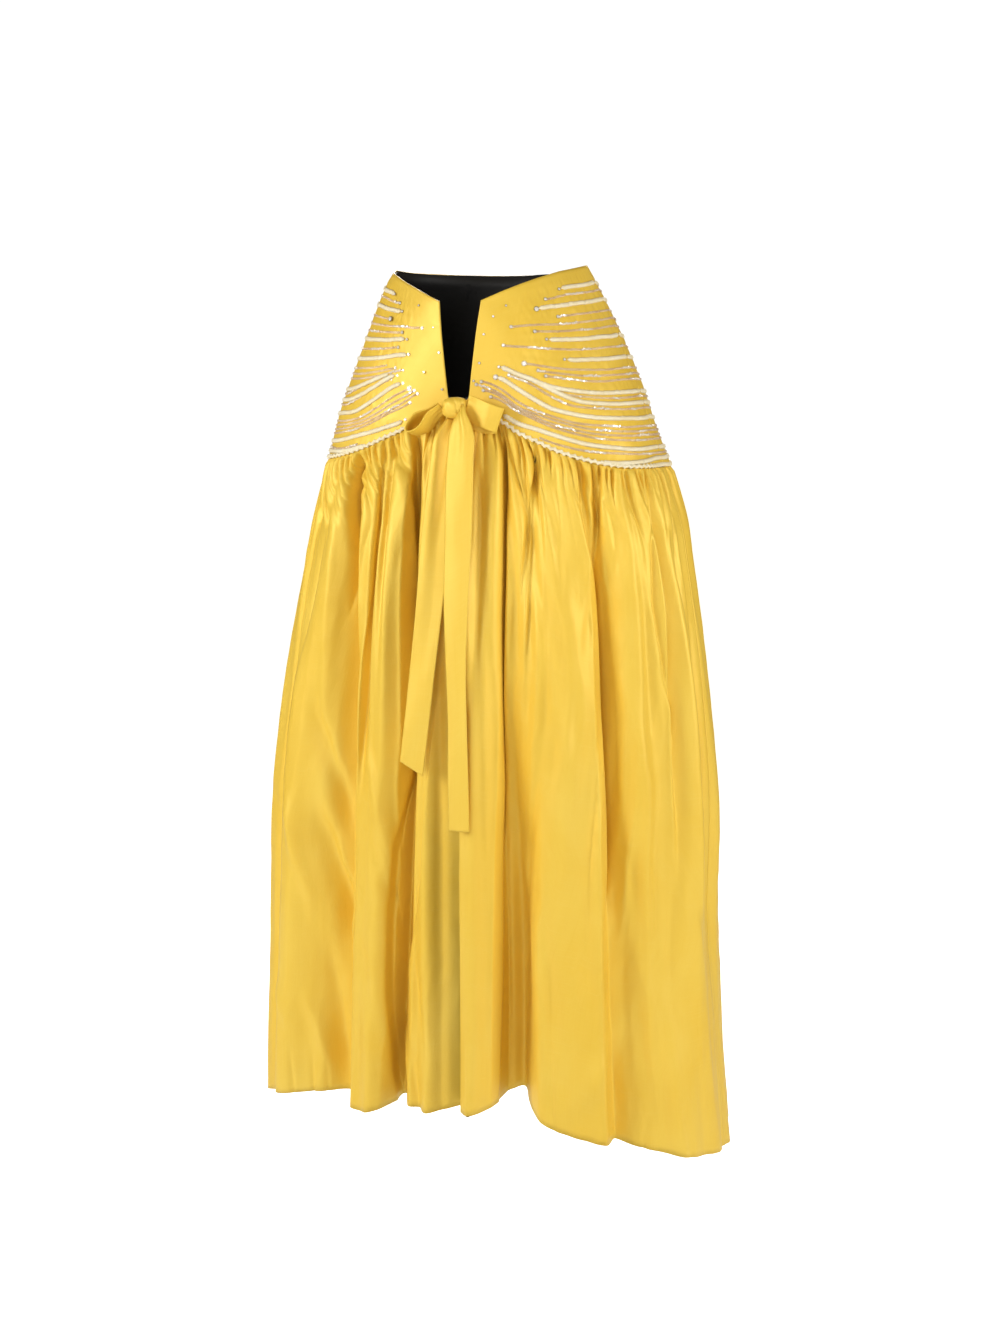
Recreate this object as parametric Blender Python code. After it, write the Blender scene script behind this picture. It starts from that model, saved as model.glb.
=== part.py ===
# Evening cloak: a stiff shaped yoke over the shoulders, a long gathered skirt open at the front,
# a dark lining and a bow tie with two long tails. Metres, +Z up, the front faces -Y.
# The origin is midway between the yoke's two shoulder corners, where the wearer carries it.
# Angles run round the body in degrees: 0 at the front, 90 at the wearer's left, 180 at the back.
# A share runs down a piece: 0 at its top edge, 1 at its bottom edge.

import math

import bmesh
import bpy
import numpy as np

# Cloth and gaps
YOKE_WALL = 0.0026
SKIRT_WALL = 0.0020
LINING_WALL = 0.0010
TIE_WALL = 0.0020
SEAM_GAP = 0.0003
YOKE_TO_SKIRT = 0.0006

# Yoke
NECK_HALF_WIDTH = 0.151
NECK_FRONT_DEPTH = 0.130
NECK_BACK_DEPTH = 0.139
NECK_CENTRE_Y = -0.019
NECK_POWER = 1.7
SEAM_LEFT_HALF = 0.267
SEAM_RIGHT_HALF = 0.254
SEAM_FRONT_DEPTH = 0.150
SEAM_BACK_DEPTH = 0.156
SEAM_POWER = 3.1
YOKE_BULGE = 0.009
BACK_SEAM_RISE = 0.012
LEFT_DROP = 0.017  # the worn cloak hangs this much lower for each metre towards the wearer's left

# Height of the neckline. Columns: angle from the front, height.
NECKLINE = (
    (0, -0.0560),
    (14, -0.0555),
    (27, -0.0430),
    (40, -0.0315),
    (52, -0.0220),
    (66, -0.0120),
    (90, 0.0),
    (104, -0.0020),
    (180, -0.0030),
)

# Height of the front seam. Columns: distance from the centre, height.
FRONT_SEAM = (
    (0.00, -0.209),
    (0.03, -0.215),
    (0.07, -0.230),
    (0.09, -0.243),
    (0.12, -0.256),
    (0.145, -0.267),
    (0.18, -0.279),
    (0.21, -0.286),
    (0.25, -0.291),
    (0.27, -0.291),
)

# Front edge of each yoke half. Columns: share down the front, distance from the centre.
NOTCH_EDGE = (
    (0.00, 0.0320),
    (0.30, 0.0255),
    (0.60, 0.0195),
    (0.84, 0.0140),
    (0.885, 0.0120),
    (0.905, 0.0085),
    (0.925, 0.0006),
    (1.00, 0.0006),
)

# Skirt rings. Columns: share, left half width, right half width, front depth, back depth, power.
SKIRT_RINGS = (
    (0.00, 0.267, 0.254, 0.150, 0.156, 3.1),
    (0.04, 0.284, 0.268, 0.160, 0.168, 3.0),
    (0.08, 0.299, 0.280, 0.168, 0.178, 2.9),
    (0.13, 0.310, 0.294, 0.175, 0.187, 2.8),
    (0.20, 0.322, 0.310, 0.181, 0.197, 2.7),
    (0.28, 0.332, 0.326, 0.186, 0.205, 2.6),
    (0.36, 0.340, 0.339, 0.190, 0.211, 2.5),
    (0.50, 0.350, 0.354, 0.195, 0.220, 2.5),
    (0.66, 0.353, 0.362, 0.198, 0.228, 2.5),
    (0.80, 0.361, 0.366, 0.200, 0.234, 2.5),
    (1.00, 0.380, 0.373, 0.202, 0.240, 2.5),
)

# Height of the hem. Columns: angle, height.
HEM = (
    (-180, -1.350),
    (-135, -1.346),
    (-100, -1.338),
    (-84, -1.330),
    (-65, -1.293),
    (-48, -1.276),
    (-40, -1.284),
    (-25, -1.270),
    (-6, -1.262),
    (5, -1.253),
    (17, -1.250),
    (27, -1.240),
    (33, -1.254),
    (39, -1.270),
    (57, -1.298),
    (77, -1.328),
    (95, -1.345),
    (135, -1.352),
    (180, -1.350),
)

# Large folds of the skirt. Columns: angle of its line at the top, at 0.45 and at the hem, half width
# before and after that line in degrees, how much wider it is at the hem, the shares where it starts,
# is full and begins to fade, and its depth in metres: out of the cloth when positive.
FOLDS = (
    # the wearer's left front, from the open edge
    (24.0, 21.0, 18.8, 3.6, 6.5, 1.1, -0.01, 0.80, 1.5, -0.070),
    (28.0, 27.0, 27.0, 4.0, 7.0, 1.2, 0.01, 0.20, 1.5, 0.010),
    (37.5, 26.0, 24.0, 2.6, 4.0, 1.0, -0.02, 0.05, 0.14, -0.009),
    (44.0, 43.0, 44.0, 7.0, 7.0, 1.0, 0.05, 0.40, 1.5, 0.008),
    (52.0, 54.5, 58.0, 2.6, 5.5, 1.5, -0.01, 0.30, 1.5, -0.030),
    (57.8, 46.0, 40.0, 2.2, 2.8, 1.0, -0.02, 0.04, 0.10, -0.009),
    (60.0, 61.0, 63.0, 4.0, 5.0, 1.2, 0.03, 0.30, 1.5, 0.010),
    (65.5, 67.5, 68.0, 4.0, 6.0, 1.2, 0.08, 0.40, 1.5, -0.014),
    (73.5, 74.5, 77.0, 3.0, 4.0, 1.4, -0.01, 0.14, 0.40, -0.010),
    (80.0, 80.0, 83.0, 4.0, 5.0, 1.2, 0.10, 0.40, 1.5, 0.008),
    (89.0, 86.5, 92.0, 3.0, 4.0, 1.6, -0.01, 0.20, 0.60, -0.010),
    # the wearer's right front, from the open edge
    (-8.0, -8.5, -8.5, 5.0, 5.0, 1.3, 0.10, 0.60, 1.5, 0.016),
    (-22.5, -19.5, -27.0, 4.5, 5.5, 1.4, -0.01, 0.50, 1.5, -0.045),
    (-30.0, -29.0, -34.0, 5.0, 5.0, 1.1, 0.02, 0.30, 1.5, 0.013),
    (-34.5, -30.0, -30.0, 2.2, 2.6, 1.0, -0.02, 0.08, 0.20, -0.009),
    (-38.5, -38.3, -39.0, 2.4, 2.8, 1.0, -0.01, 0.12, 0.36, -0.014),
    (-49.0, -42.0, -43.5, 6.5, 2.8, 1.2, -0.01, 0.25, 1.5, -0.026),
    (-54.0, -50.0, -50.0, 7.0, 6.0, 1.2, 0.30, 0.80, 1.5, -0.018),
    (-60.0, -61.0, -63.0, 6.0, 6.0, 1.1, 0.05, 0.40, 1.5, 0.010),
    (-68.0, -70.0, -73.0, 3.0, 4.0, 1.5, -0.01, 0.20, 0.70, -0.012),
    (-80.0, -79.0, -80.0, 5.0, 5.0, 1.3, 0.05, 0.50, 1.5, 0.008),
    (-88.0, -90.0, -91.0, 4.0, 4.0, 1.4, -0.01, 0.30, 1.5, -0.013),
    # the back, from the wearer's left to the right
    (101.0, 103.0, 104.0, 4.0, 5.0, 1.3, -0.01, 0.40, 1.5, -0.022),
    (112.0, 112.0, 113.0, 5.0, 5.0, 1.2, 0.04, 0.40, 1.5, 0.014),
    (120.0, 122.0, 124.0, 3.0, 4.5, 1.4, -0.01, 0.35, 1.5, -0.030),
    (131.0, 133.0, 135.0, 5.0, 5.0, 1.2, 0.05, 0.50, 1.5, 0.015),
    (139.0, 141.0, 147.0, 3.0, 3.5, 1.5, -0.01, 0.20, 0.55, -0.016),
    (150.0, 152.0, 156.0, 3.5, 5.5, 1.3, -0.01, 0.50, 1.5, -0.040),
    (163.0, 163.0, 166.0, 5.5, 5.5, 1.1, 0.05, 0.45, 1.5, 0.018),
    (172.0, 175.0, 178.0, 4.0, 4.0, 1.4, -0.01, 0.45, 1.5, -0.028),
    (184.0, 187.0, 189.0, 5.0, 5.0, 1.2, 0.05, 0.50, 1.5, 0.016),
    (193.0, 195.0, 193.0, 3.0, 3.0, 1.3, -0.01, 0.15, 0.45, -0.014),
    (203.0, 202.0, 200.0, 5.0, 3.5, 1.3, -0.01, 0.50, 1.5, -0.036),
    (214.0, 213.0, 211.0, 5.0, 5.0, 1.2, 0.05, 0.40, 1.5, 0.014),
    (224.0, 222.0, 221.0, 4.0, 3.0, 1.5, -0.01, 0.40, 1.5, -0.030),
    (235.0, 235.0, 234.0, 5.0, 5.0, 1.2, 0.05, 0.40, 1.5, 0.012),
    (244.0, 245.0, 246.0, 3.5, 3.0, 1.4, -0.01, 0.30, 0.80, -0.018),
    (257.0, 257.0, 256.0, 5.0, 4.0, 1.3, -0.01, 0.40, 1.5, -0.020),
)
# Folds at the open edges, each on its own front only: the left front stands forward of the right one.
LEFT_EDGE_FOLDS = ((8.0, 11.0, 11.2, 12.0, 8.5, 1.0, 0.02, 0.35, 1.5, 0.027),)
RIGHT_EDGE_FOLDS = ((1.0, 5.0, 7.0, 9.0, 9.0, 1.0, 0.03, 0.35, 1.5, -0.018),)
FADE_LENGTH = 0.25
FOLD_MIDDLE = 0.45
EDGE_ROOM = 4.0  # degrees from a panel's edge within which no column follows a fold
FOLD_ROUNDING = 0.0035  # cloth doesn't fold tighter than this

# Open edges of the skirt. Columns: share, angle of the left edge, angle of the right edge.
OPEN_EDGES = (
    (0.00, 0.10, -0.10),
    (0.10, 2.60, 2.40),
    (0.25, 6.00, 5.80),
    (0.50, 7.40, 8.60),
    (1.00, 7.80, 9.80),
)

# Gathers
GATHERS_IN_FRONT = 24
GATHERS_IN_BACK = 48
GATHER_HEIGHT = 0.0036
GATHER_RISE = 0.014
GATHER_REACH = (0.05, 0.22)
GATHER_SIZES = (0.55, 1.25)

# Bow. Columns of a tail: height, left edge, right edge, depth of its middle.
KNOT_CENTRE = (0.0015, -0.1693, -0.2085)
KNOT_HALF = (0.0175, 0.0160, 0.0155)
LEFT_TAIL = (
    (-0.2243, 0.0005, 0.0150, -0.1760),
    (-0.2320, 0.0000, 0.0260, -0.1840),
    (-0.2440, -0.0005, 0.0350, -0.1900),
    (-0.2800, -0.0020, 0.0395, -0.1960),
    (-0.3300, -0.0020, 0.0413, -0.2010),
    (-0.3900, -0.0005, 0.0412, -0.2070),
    (-0.4900, 0.0020, 0.0395, -0.2180),
    (-0.5800, 0.0080, 0.0390, -0.2260),
    (-0.6700, 0.0135, 0.0430, -0.2320),
    (-0.7500, 0.0155, 0.0465, -0.2370),
    (-0.8185, 0.0178, 0.0491, -0.2400),
)
RIGHT_TAIL = (
    (-0.2243, -0.0125, 0.0035, -0.1695),
    (-0.2450, -0.0245, 0.0030, -0.1790),
    (-0.2800, -0.0300, 0.0040, -0.1850),
    (-0.3300, -0.0350, 0.0030, -0.1900),
    (-0.3900, -0.0410, -0.0010, -0.1960),
    (-0.5000, -0.0457, -0.0055, -0.2080),
    (-0.6200, -0.0545, -0.0155, -0.2200),
    (-0.7330, -0.0629, -0.0280, -0.2290),
)
TAIL_CROWN = 0.0025  # how far the middle of a tail stands in front of its edges
RIGHT_TAIL_SLANT = 0.010

# Bow loops. Columns: root, tip, direction of the strap's width, half width at the root and the tip,
# how far the layers stand apart, and how far the back layer has slipped down.
LEFT_LOOP = (
    (0.0200, -0.1700, -0.2130),
    (0.0700, -0.1710, -0.2285),
    (0.32, 0.0, 0.95),
    0.0160,
    0.0215,
    0.0050,
    0.006,
)
RIGHT_LOOP = (
    (-0.0180, -0.1750, -0.2080),
    (-0.0660, -0.1820, -0.2430),
    (0.20, -0.93, 0.30),
    0.0100,
    0.0195,
    0.0065,
    0.0,
)
LAYER_GAP = 0.0006

# Trim
BRAID_RADIUS = 0.0022
BRAID_START = 9.0
BRAID_POINTS = 96
YOKE_DROP = 0.2  # from the neckline to the seam
LINING_DROP = 0.004
LINING_STARTS = 0.40
LINING_COLUMNS = 15
LINING_EASE = 0.0022
LINING_EASE_AT_YOKE = 0.0006

# Rows of the coarse grids, as shares down the piece.
YOKE_ROWS = (0.0, 0.25, 0.5, 0.75, 0.885, 0.925, 1.0)
LINING_END = 0.985
YOKE_FRONT_COLUMNS = 18
YOKE_BACK_COLUMNS = 20
SKIRT_ROWS = (0.0, 0.014, 0.04, 0.09, 0.16, 0.26, 0.40, 0.56, 0.72, 0.87, 1.0)
FINE = 1200

CLOTH_COLOUR = (0.78, 0.52, 0.06)
LINING_COLOUR = (0.012, 0.012, 0.012)
BRAID_COLOUR = (0.92, 0.84, 0.62)


def along(table, column, places):
    """A smooth curve through one column of a table, read at some places of its first column."""
    rows = np.array(table, float)
    x, y = rows[:, 0], rows[:, column]
    slopes = np.gradient(y, x)
    places = np.clip(places, x[0], x[-1])
    k = np.clip(np.searchsorted(x, places, side="right") - 1, 0, len(x) - 2)
    step = x[k + 1] - x[k]
    t = (places - x[k]) / step
    return (
        y[k] * (1 + 2 * t) * (1 - t) ** 2
        + y[k + 1] * t * t * (3 - 2 * t)
        + slopes[k] * step * t * (1 - t) ** 2
        - slopes[k + 1] * step * t * t * (1 - t)
    )


def smooth_step(value):
    value = np.clip(value, 0, 1)
    return value * value * (3 - 2 * value)


def ring(angle, left, right, front, back, power, centre_y):
    """Plan of a flattened ring, at angles round it."""
    turn = np.radians(angle)
    across, ahead = np.sin(turn), np.cos(turn)
    half_width = np.where(across > 0, left, right)
    depth = np.where(ahead > 0, front, back)
    reach = ((np.abs(across) / half_width) ** power + (np.abs(ahead) / depth) ** power) ** (-1 / power)
    return reach * across, centre_y - reach * ahead


def turned(angle):
    return (angle + 180) % 360 - 180


def seam_height(angle, x):
    turn = np.radians(angle)
    front = along(FRONT_SEAM, 1, np.abs(x))
    side = FRONT_SEAM[-1][1]
    back = side + BACK_SEAM_RISE * np.cos(turn) ** 2
    return np.where(np.cos(turn) > 0, front, back) - LEFT_DROP * x


def seam_ring(angle):
    return ring(angle, SEAM_LEFT_HALF, SEAM_RIGHT_HALF, SEAM_FRONT_DEPTH, SEAM_BACK_DEPTH, SEAM_POWER, 0.0)


def yoke_surface(angle, share):
    neck_half = (NECK_HALF_WIDTH, NECK_HALF_WIDTH)
    x0, y0 = ring(angle, *neck_half, NECK_FRONT_DEPTH, NECK_BACK_DEPTH, NECK_POWER, NECK_CENTRE_Y)
    x1, y1 = seam_ring(angle)
    neck = np.array(NECKLINE, float)
    z0 = np.interp(np.abs(turned(angle)), neck[:, 0], neck[:, 1])
    z1 = seam_height(angle, x1)
    turn = np.radians(angle)
    bulge = 4 * share * (1 - share) * YOKE_BULGE * (0.25 + 0.75 * np.sin(turn) ** 2)
    x = x0 + (x1 - x0) * share + bulge * np.sin(turn)
    y = y0 + (y1 - y0) * share - bulge * np.cos(turn)
    return np.stack([x, y, z0 + (z1 - z0) * share], -1)


def skirt_base(angle, share):
    left, right, front, back, power = (along(SKIRT_RINGS, column, share) for column in range(1, 6))
    x, y = ring(angle, left, right, front, back, power, 0.0)
    top = seam_height(angle, seam_ring(angle)[0]) - YOKE_TO_SKIRT
    hem = along(HEM, 1, turned(angle))
    return np.stack([x, y, top + (hem - top) * share], -1)


def fold_line(fold, share):
    return np.interp(share, (0, FOLD_MIDDLE, 1), fold[:3])


def fold_height(folds, angle, share):
    """How far the large folds move the cloth out of, or into, the skirt's base form."""
    height = np.zeros_like(angle)
    for fold in folds:
        before, after, widening, starts, full, fades, depth = fold[3:]
        centre = fold_line(fold, share)
        offset = turned(angle - centre)
        reach = np.where(offset < 0, before, after) * (1 + (widening - 1) * share)
        growth = smooth_step((share - starts) / (full - starts))
        fading = 1 - smooth_step((share - fades) / FADE_LENGTH)
        height += depth * growth * fading * (1 - smooth_step(np.abs(offset) / reach))
    return height


def plan_outward(points):
    """Level directions square to a row of points, away from the body."""
    run = np.gradient(points, axis=0)
    outward = np.stack([run[:, 1], -run[:, 0], np.zeros(len(run))], -1)
    return outward / np.linalg.norm(outward, axis=1, keepdims=True)


def cloth_run(points):
    """Length of cloth from the first point to each point of a row, seen from above."""
    return np.concatenate([[0], np.cumsum(np.linalg.norm(np.diff(points[:, :2], axis=0), axis=1))])


def read_row(values, run, places):
    return np.stack([np.interp(places, run, values[:, axis]) for axis in range(3)], -1)


def rounded_off(points, length):
    """The curve with its corners eased to what the cloth can bend to, its ends kept."""
    spread = FOLD_ROUNDING * len(points) / length
    reach = int(4 * spread)
    weights = np.exp(-0.5 * (np.arange(-reach, reach + 1) / spread) ** 2)
    weights /= weights.sum()
    before = 2 * points[0] - points[reach:0:-1]
    after = 2 * points[-1] - points[-2 : -reach - 2 : -1]
    padded = np.concatenate([before, points, after])
    return np.stack([np.convolve(padded[:, axis], weights, mode="valid") for axis in range(3)], -1)


def fine_row(folds, share, first, last):
    """One level line of a skirt panel in small steps: its points and the angle that each came from."""
    angles = np.linspace(first, last, FINE)
    shares = np.full(FINE, share)
    base = skirt_base(angles, shares)
    folded = base + plan_outward(base) * fold_height(folds, angles, shares)[:, None]
    run = cloth_run(folded)
    even = np.linspace(0, run[-1], FINE)
    return rounded_off(read_row(folded, run, even), run[-1]), np.interp(even, run, angles)


def skirt_grid(folds, edges, rows, columns):
    """Middle points and outward directions of a panel. Its columns keep to the lines of the long folds."""
    fine = [fine_row(folds, share, *edges(share)) for share in rows]
    long_folds = [fold for fold in folds if fold[8] > 1]
    anchors = []
    for (points, angles), share in zip(fine, rows):
        lines = [angles[0] + (fold_line(fold, share) - angles[0]) % 360 for fold in long_folds]
        lines = np.sort(lines)
        inside = lines[(lines > edges(rows[0])[0] + EDGE_ROOM) & (lines < edges(rows[0])[1] - EDGE_ROOM)]
        run = cloth_run(points)
        anchors.append(np.concatenate([[0], np.interp(inside, angles, run), [run[-1]]]))
    anchors = np.array(anchors)
    shared = (anchors / anchors[:, -1:]).mean(axis=0)
    places = np.interp(np.linspace(0, 1, columns + 1), shared, np.arange(len(shared)))
    grid, directions = [], []
    for (points, _), stops in zip(fine, anchors):
        run = cloth_run(points)
        at = np.interp(places, np.arange(len(stops)), stops)
        grid.append(read_row(points, run, at))
        directions.append(read_row(plan_outward(points), run, at))
    return np.array(grid), np.array(directions)


def gather_height(place, share, gathers, seed):
    """The small gathers below the seam: each has its own size, and its own reach down the skirt."""
    chance = np.random.default_rng(seed)
    sizes = chance.uniform(*GATHER_SIZES, gathers + 1)
    reaches = chance.uniform(*GATHER_REACH, gathers + 1)
    whole = np.arange(gathers + 1)
    size = np.interp(place, whole, sizes)
    reach = np.interp(place, whole, reaches)
    rise = 0.35 + 0.65 * smooth_step(share / GATHER_RISE)
    return GATHER_HEIGHT * size * rise * np.exp(-((share / reach) ** 1.3)) * np.cos(2 * math.pi * place)


def edge_angles(share):
    return float(along(OPEN_EDGES, 1, share)), float(along(OPEN_EDGES, 2, share))


def new_material(name, colour, roughness):
    material = bpy.data.materials.new(name)
    material.use_nodes = True
    shader = material.node_tree.nodes["Principled BSDF"]
    shader.inputs["Base Color"].default_value = (*colour, 1)
    shader.inputs["Roughness"].default_value = roughness
    shader.inputs["Metallic"].default_value = 0.0
    return material


def new_piece(name, mesh, material):
    data = bpy.data.meshes.new(name)
    bmesh.ops.recalc_face_normals(mesh, faces=mesh.faces)
    mesh.to_mesh(data)
    mesh.free()
    data.shade_smooth()
    data.set_sharp_from_angle(angle=math.radians(50))
    data.materials.append(material)
    piece = bpy.data.objects.new(name, data)
    bpy.context.scene.collection.objects.link(piece)
    return piece


def cloth_wall(name, outer, inner, material):
    """A closed wall of cloth between two grids of points, rows by columns by xyz."""
    rows, columns = outer.shape[0] - 1, outer.shape[1] - 1
    mesh = bmesh.new()
    bmesh.ops.create_grid(mesh, x_segments=columns, y_segments=rows, size=0.5)
    outside = list(mesh.verts)
    extruded = bmesh.ops.extrude_face_region(mesh, geom=list(mesh.faces))
    inside = [item for item in extruded["geom"] if isinstance(item, bmesh.types.BMVert)]
    for verts, points in ((outside, outer), (inside, inner)):
        for vert in verts:
            column = round((vert.co.x + 0.5) * columns)
            row = round((0.5 - vert.co.y) * rows)
            vert.co = points[row, column]
    return new_piece(name, mesh, material)


def yoke_directions(angle, share):
    """Level steps that move a point of the yoke out of its surface by one unit of wall."""
    turn_step, share_step = 0.5, 0.01
    low, high = np.clip(share - share_step, 0, 1), np.clip(share + share_step, 0, 1)
    around = yoke_surface(angle + turn_step, share) - yoke_surface(angle - turn_step, share)
    down = yoke_surface(angle, high) - yoke_surface(angle, low)
    square = np.cross(down, around)
    square /= np.linalg.norm(square, axis=-1, keepdims=True)
    level = square * (1, 1, 0)
    return level / (level**2).sum(-1, keepdims=True)


def notch_angle(share):
    """Angle of a yoke half's front edge, found from the edge's distance to the centre."""
    edge = np.array(NOTCH_EDGE, float)
    distance = np.interp(share, edge[:, 0], edge[:, 1])
    angle = np.degrees(np.arctan2(distance, SEAM_FRONT_DEPTH))
    for _ in range(6):
        place = yoke_surface(angle, share)
        angle = angle + np.degrees((distance - place[..., 0]) / SEAM_FRONT_DEPTH)
    return angle


def make_yoke(cloth, lining):
    shares = np.array(YOKE_ROWS)
    notch = notch_angle(shares)
    edge_gap = math.degrees(SEAM_GAP / 2 / NECK_HALF_WIDTH)
    side = np.full(len(shares), 90 - edge_gap)
    panels = (
        ("yoke_front_left", YOKE_FRONT_COLUMNS, notch, side),
        ("yoke_back", YOKE_BACK_COLUMNS, 180 - side, 180 + side),
        ("yoke_front_right", YOKE_FRONT_COLUMNS, 360 - side, 360 - notch),
    )
    grids = []
    for name, columns, first, last in panels:
        angles = first[:, None] + (last - first)[:, None] * np.linspace(0, 1, columns + 1)
        downs = np.repeat(shares[:, None], columns + 1, axis=1)
        middle = yoke_surface(angles, downs)
        wall = yoke_directions(angles, downs) * YOKE_WALL / 2
        cloth_wall(name, middle + wall, middle - wall, cloth)
        grids.append(angles)
    angles = np.concatenate([grids[0], grids[1][:, 1:], grids[2][:, 1:]], axis=1)
    downs = np.repeat(np.minimum(shares, LINING_END)[:, None], angles.shape[1], axis=1)
    middle = yoke_surface(angles, downs)
    level = yoke_directions(angles, downs)
    near = YOKE_WALL / 2 + LINING_EASE_AT_YOKE
    cloth_wall("yoke_lining", middle - level * near, middle - level * (near + LINING_WALL), lining)


def skirt_panels():
    """Columns: name, folds, edge angles at a share, gathers, seed of its gathers."""
    gap = math.degrees(SEAM_GAP / SEAM_RIGHT_HALF)
    left, right = FOLDS + LEFT_EDGE_FOLDS, FOLDS + RIGHT_EDGE_FOLDS
    front, back = GATHERS_IN_FRONT, GATHERS_IN_BACK
    return (
        ("skirt_front_left", left, lambda share: (edge_angles(share)[0], 90 - gap), front, 11),
        ("skirt_front_right", right, lambda share: (gap - 90, edge_angles(share)[1]), front, 12),
        ("skirt_back", FOLDS, lambda share: (90 + gap, 270 - gap), back, 13),
    )


def make_skirt(cloth):
    for name, folds, edges, gathers, seed in skirt_panels():
        points, directions = skirt_grid(folds, edges, SKIRT_ROWS, 2 * gathers)
        place = np.linspace(0, gathers, 2 * gathers + 1)
        for share, row, outward in zip(SKIRT_ROWS, points, directions):
            row += outward * gather_height(place, share, gathers, seed)[:, None]
        wall = directions * SKIRT_WALL / 2
        cloth_wall(name, points + wall, points - wall, cloth)


def make_front_lining(lining):
    """The edge of the lining that shows under the hem beside the opening."""
    _, folds, edges, gathers, _ = skirt_panels()[0]
    points, directions = skirt_grid(folds, edges, SKIRT_ROWS, 2 * gathers)
    shown = np.array([share >= LINING_STARTS for share in SKIRT_ROWS])
    points, directions = points[shown, :LINING_COLUMNS], directions[shown, :LINING_COLUMNS]
    drop = np.linspace(0, LINING_DROP, shown.sum())[:, None, None] * (0, 0, 1)
    near = SKIRT_WALL / 2 + LINING_EASE
    outer = points - directions * near - drop
    cloth_wall("front_lining", outer, outer - directions * LINING_WALL, lining)


def make_knot(cloth):
    mesh = bmesh.new()
    bmesh.ops.create_uvsphere(mesh, u_segments=18, v_segments=10, radius=1)
    for vert in mesh.verts:
        squared = [math.copysign(abs(value) ** 0.75, value) for value in vert.co]
        vert.co = [centre + half * value for centre, half, value in zip(KNOT_CENTRE, KNOT_HALF, squared)]
    return new_piece("bow_knot", mesh, cloth)


def make_tail(name, table, slant, cloth):
    rows = np.array(table, float)
    across = np.linspace(-1, 1, 5)
    levels = np.linspace(0, 1, 15)
    heights = rows[0, 0] + (rows[-1, 0] - rows[0, 0]) * levels
    places = rows[0, 0] - heights
    measured = [(rows[0, 0] - row[0], *row[1:]) for row in rows]
    left, right, depth = (along(measured, column, places) for column in (1, 2, 3))
    middle, half = (left + right) / 2, (right - left) / 2
    x = middle[:, None] + half[:, None] * across
    y = depth[:, None] + TAIL_CROWN * (across**2 - 0.5)
    z = heights[:, None] - slant * across * levels[:, None] ** 6
    points = np.stack([x, y, z], -1)
    wall = np.array([0, -TIE_WALL / 2, 0])
    cloth_wall(name, points + wall, points - wall, cloth)


def make_loop(name, loop, cloth):
    root, tip, width, half_root, half_tip, fullness, slip = loop
    root, tip, width = np.array(root), np.array(tip), np.array(width)
    length = np.linalg.norm(tip - root)
    along_loop = (tip - root) / length
    width = width - along_loop * width.dot(along_loop)
    width /= np.linalg.norm(width)
    apart = np.cross(along_loop, width)
    if apart[1] > 0:
        apart = -apart
    turn = np.linspace(0, 2 * math.pi, 25)
    out = length * ((1 - np.cos(turn)) / 2) ** 0.85
    off = (TIE_WALL / 2 + LAYER_GAP) * np.cos(turn / 2) + fullness * np.sin(turn)
    slipped = slip * smooth_step((turn - math.pi) / 1.5)
    half = half_root + (half_tip - half_root) * smooth_step(out / length * 1.6)
    across = np.linspace(-1, 1, 5)
    path = root + out[:, None] * along_loop + off[:, None] * apart - slipped[:, None] * width
    points = path[:, None, :] + (half[:, None] * across)[..., None] * width
    step = np.gradient(path, axis=0)
    square = np.cross(step, width)
    square /= np.linalg.norm(square, axis=1, keepdims=True)
    wall = square[:, None, :] * TIE_WALL / 2
    cloth_wall(name, points + wall, points - wall, cloth)


def make_braid(material):
    """A cream cord stitched over the seam between the yoke and the skirt."""
    angles = np.linspace(BRAID_START, 360 - BRAID_START, BRAID_POINTS)
    share = np.full(BRAID_POINTS, 1 - BRAID_RADIUS / YOKE_DROP)
    middle = yoke_surface(angles, share)
    level = yoke_directions(angles, share)
    points = middle + level * (YOKE_WALL / 2 + SEAM_GAP + BRAID_RADIUS)
    curve = bpy.data.curves.new("seam_braid", "CURVE")
    curve.dimensions = "3D"
    curve.bevel_depth = BRAID_RADIUS
    curve.bevel_resolution = 1
    curve.use_fill_caps = True
    spline = curve.splines.new("POLY")
    spline.points.add(len(points) - 1)
    for point, place in zip(spline.points, points):
        point.co = (*place, 1)
    curve.materials.append(material)
    piece = bpy.data.objects.new("seam_braid", curve)
    bpy.context.scene.collection.objects.link(piece)


def main():
    for old in list(bpy.data.objects):
        bpy.data.objects.remove(old)
    cloth = new_material("gold_silk", CLOTH_COLOUR, 0.45)
    lining = new_material("black_lining", LINING_COLOUR, 0.6)
    braid = new_material("cream_braid", BRAID_COLOUR, 0.7)
    make_yoke(cloth, lining)
    make_skirt(cloth)
    make_front_lining(lining)
    make_knot(cloth)
    make_tail("tie_tail_left", LEFT_TAIL, 0.0, cloth)
    make_tail("tie_tail_right", RIGHT_TAIL, RIGHT_TAIL_SLANT, cloth)
    make_loop("bow_loop_left", LEFT_LOOP, cloth)
    make_loop("bow_loop_right", RIGHT_LOOP, cloth)
    make_braid(braid)


main()
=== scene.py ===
import math

import bmesh
import bpy
import numpy as np
from mathutils import Matrix, Vector


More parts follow.
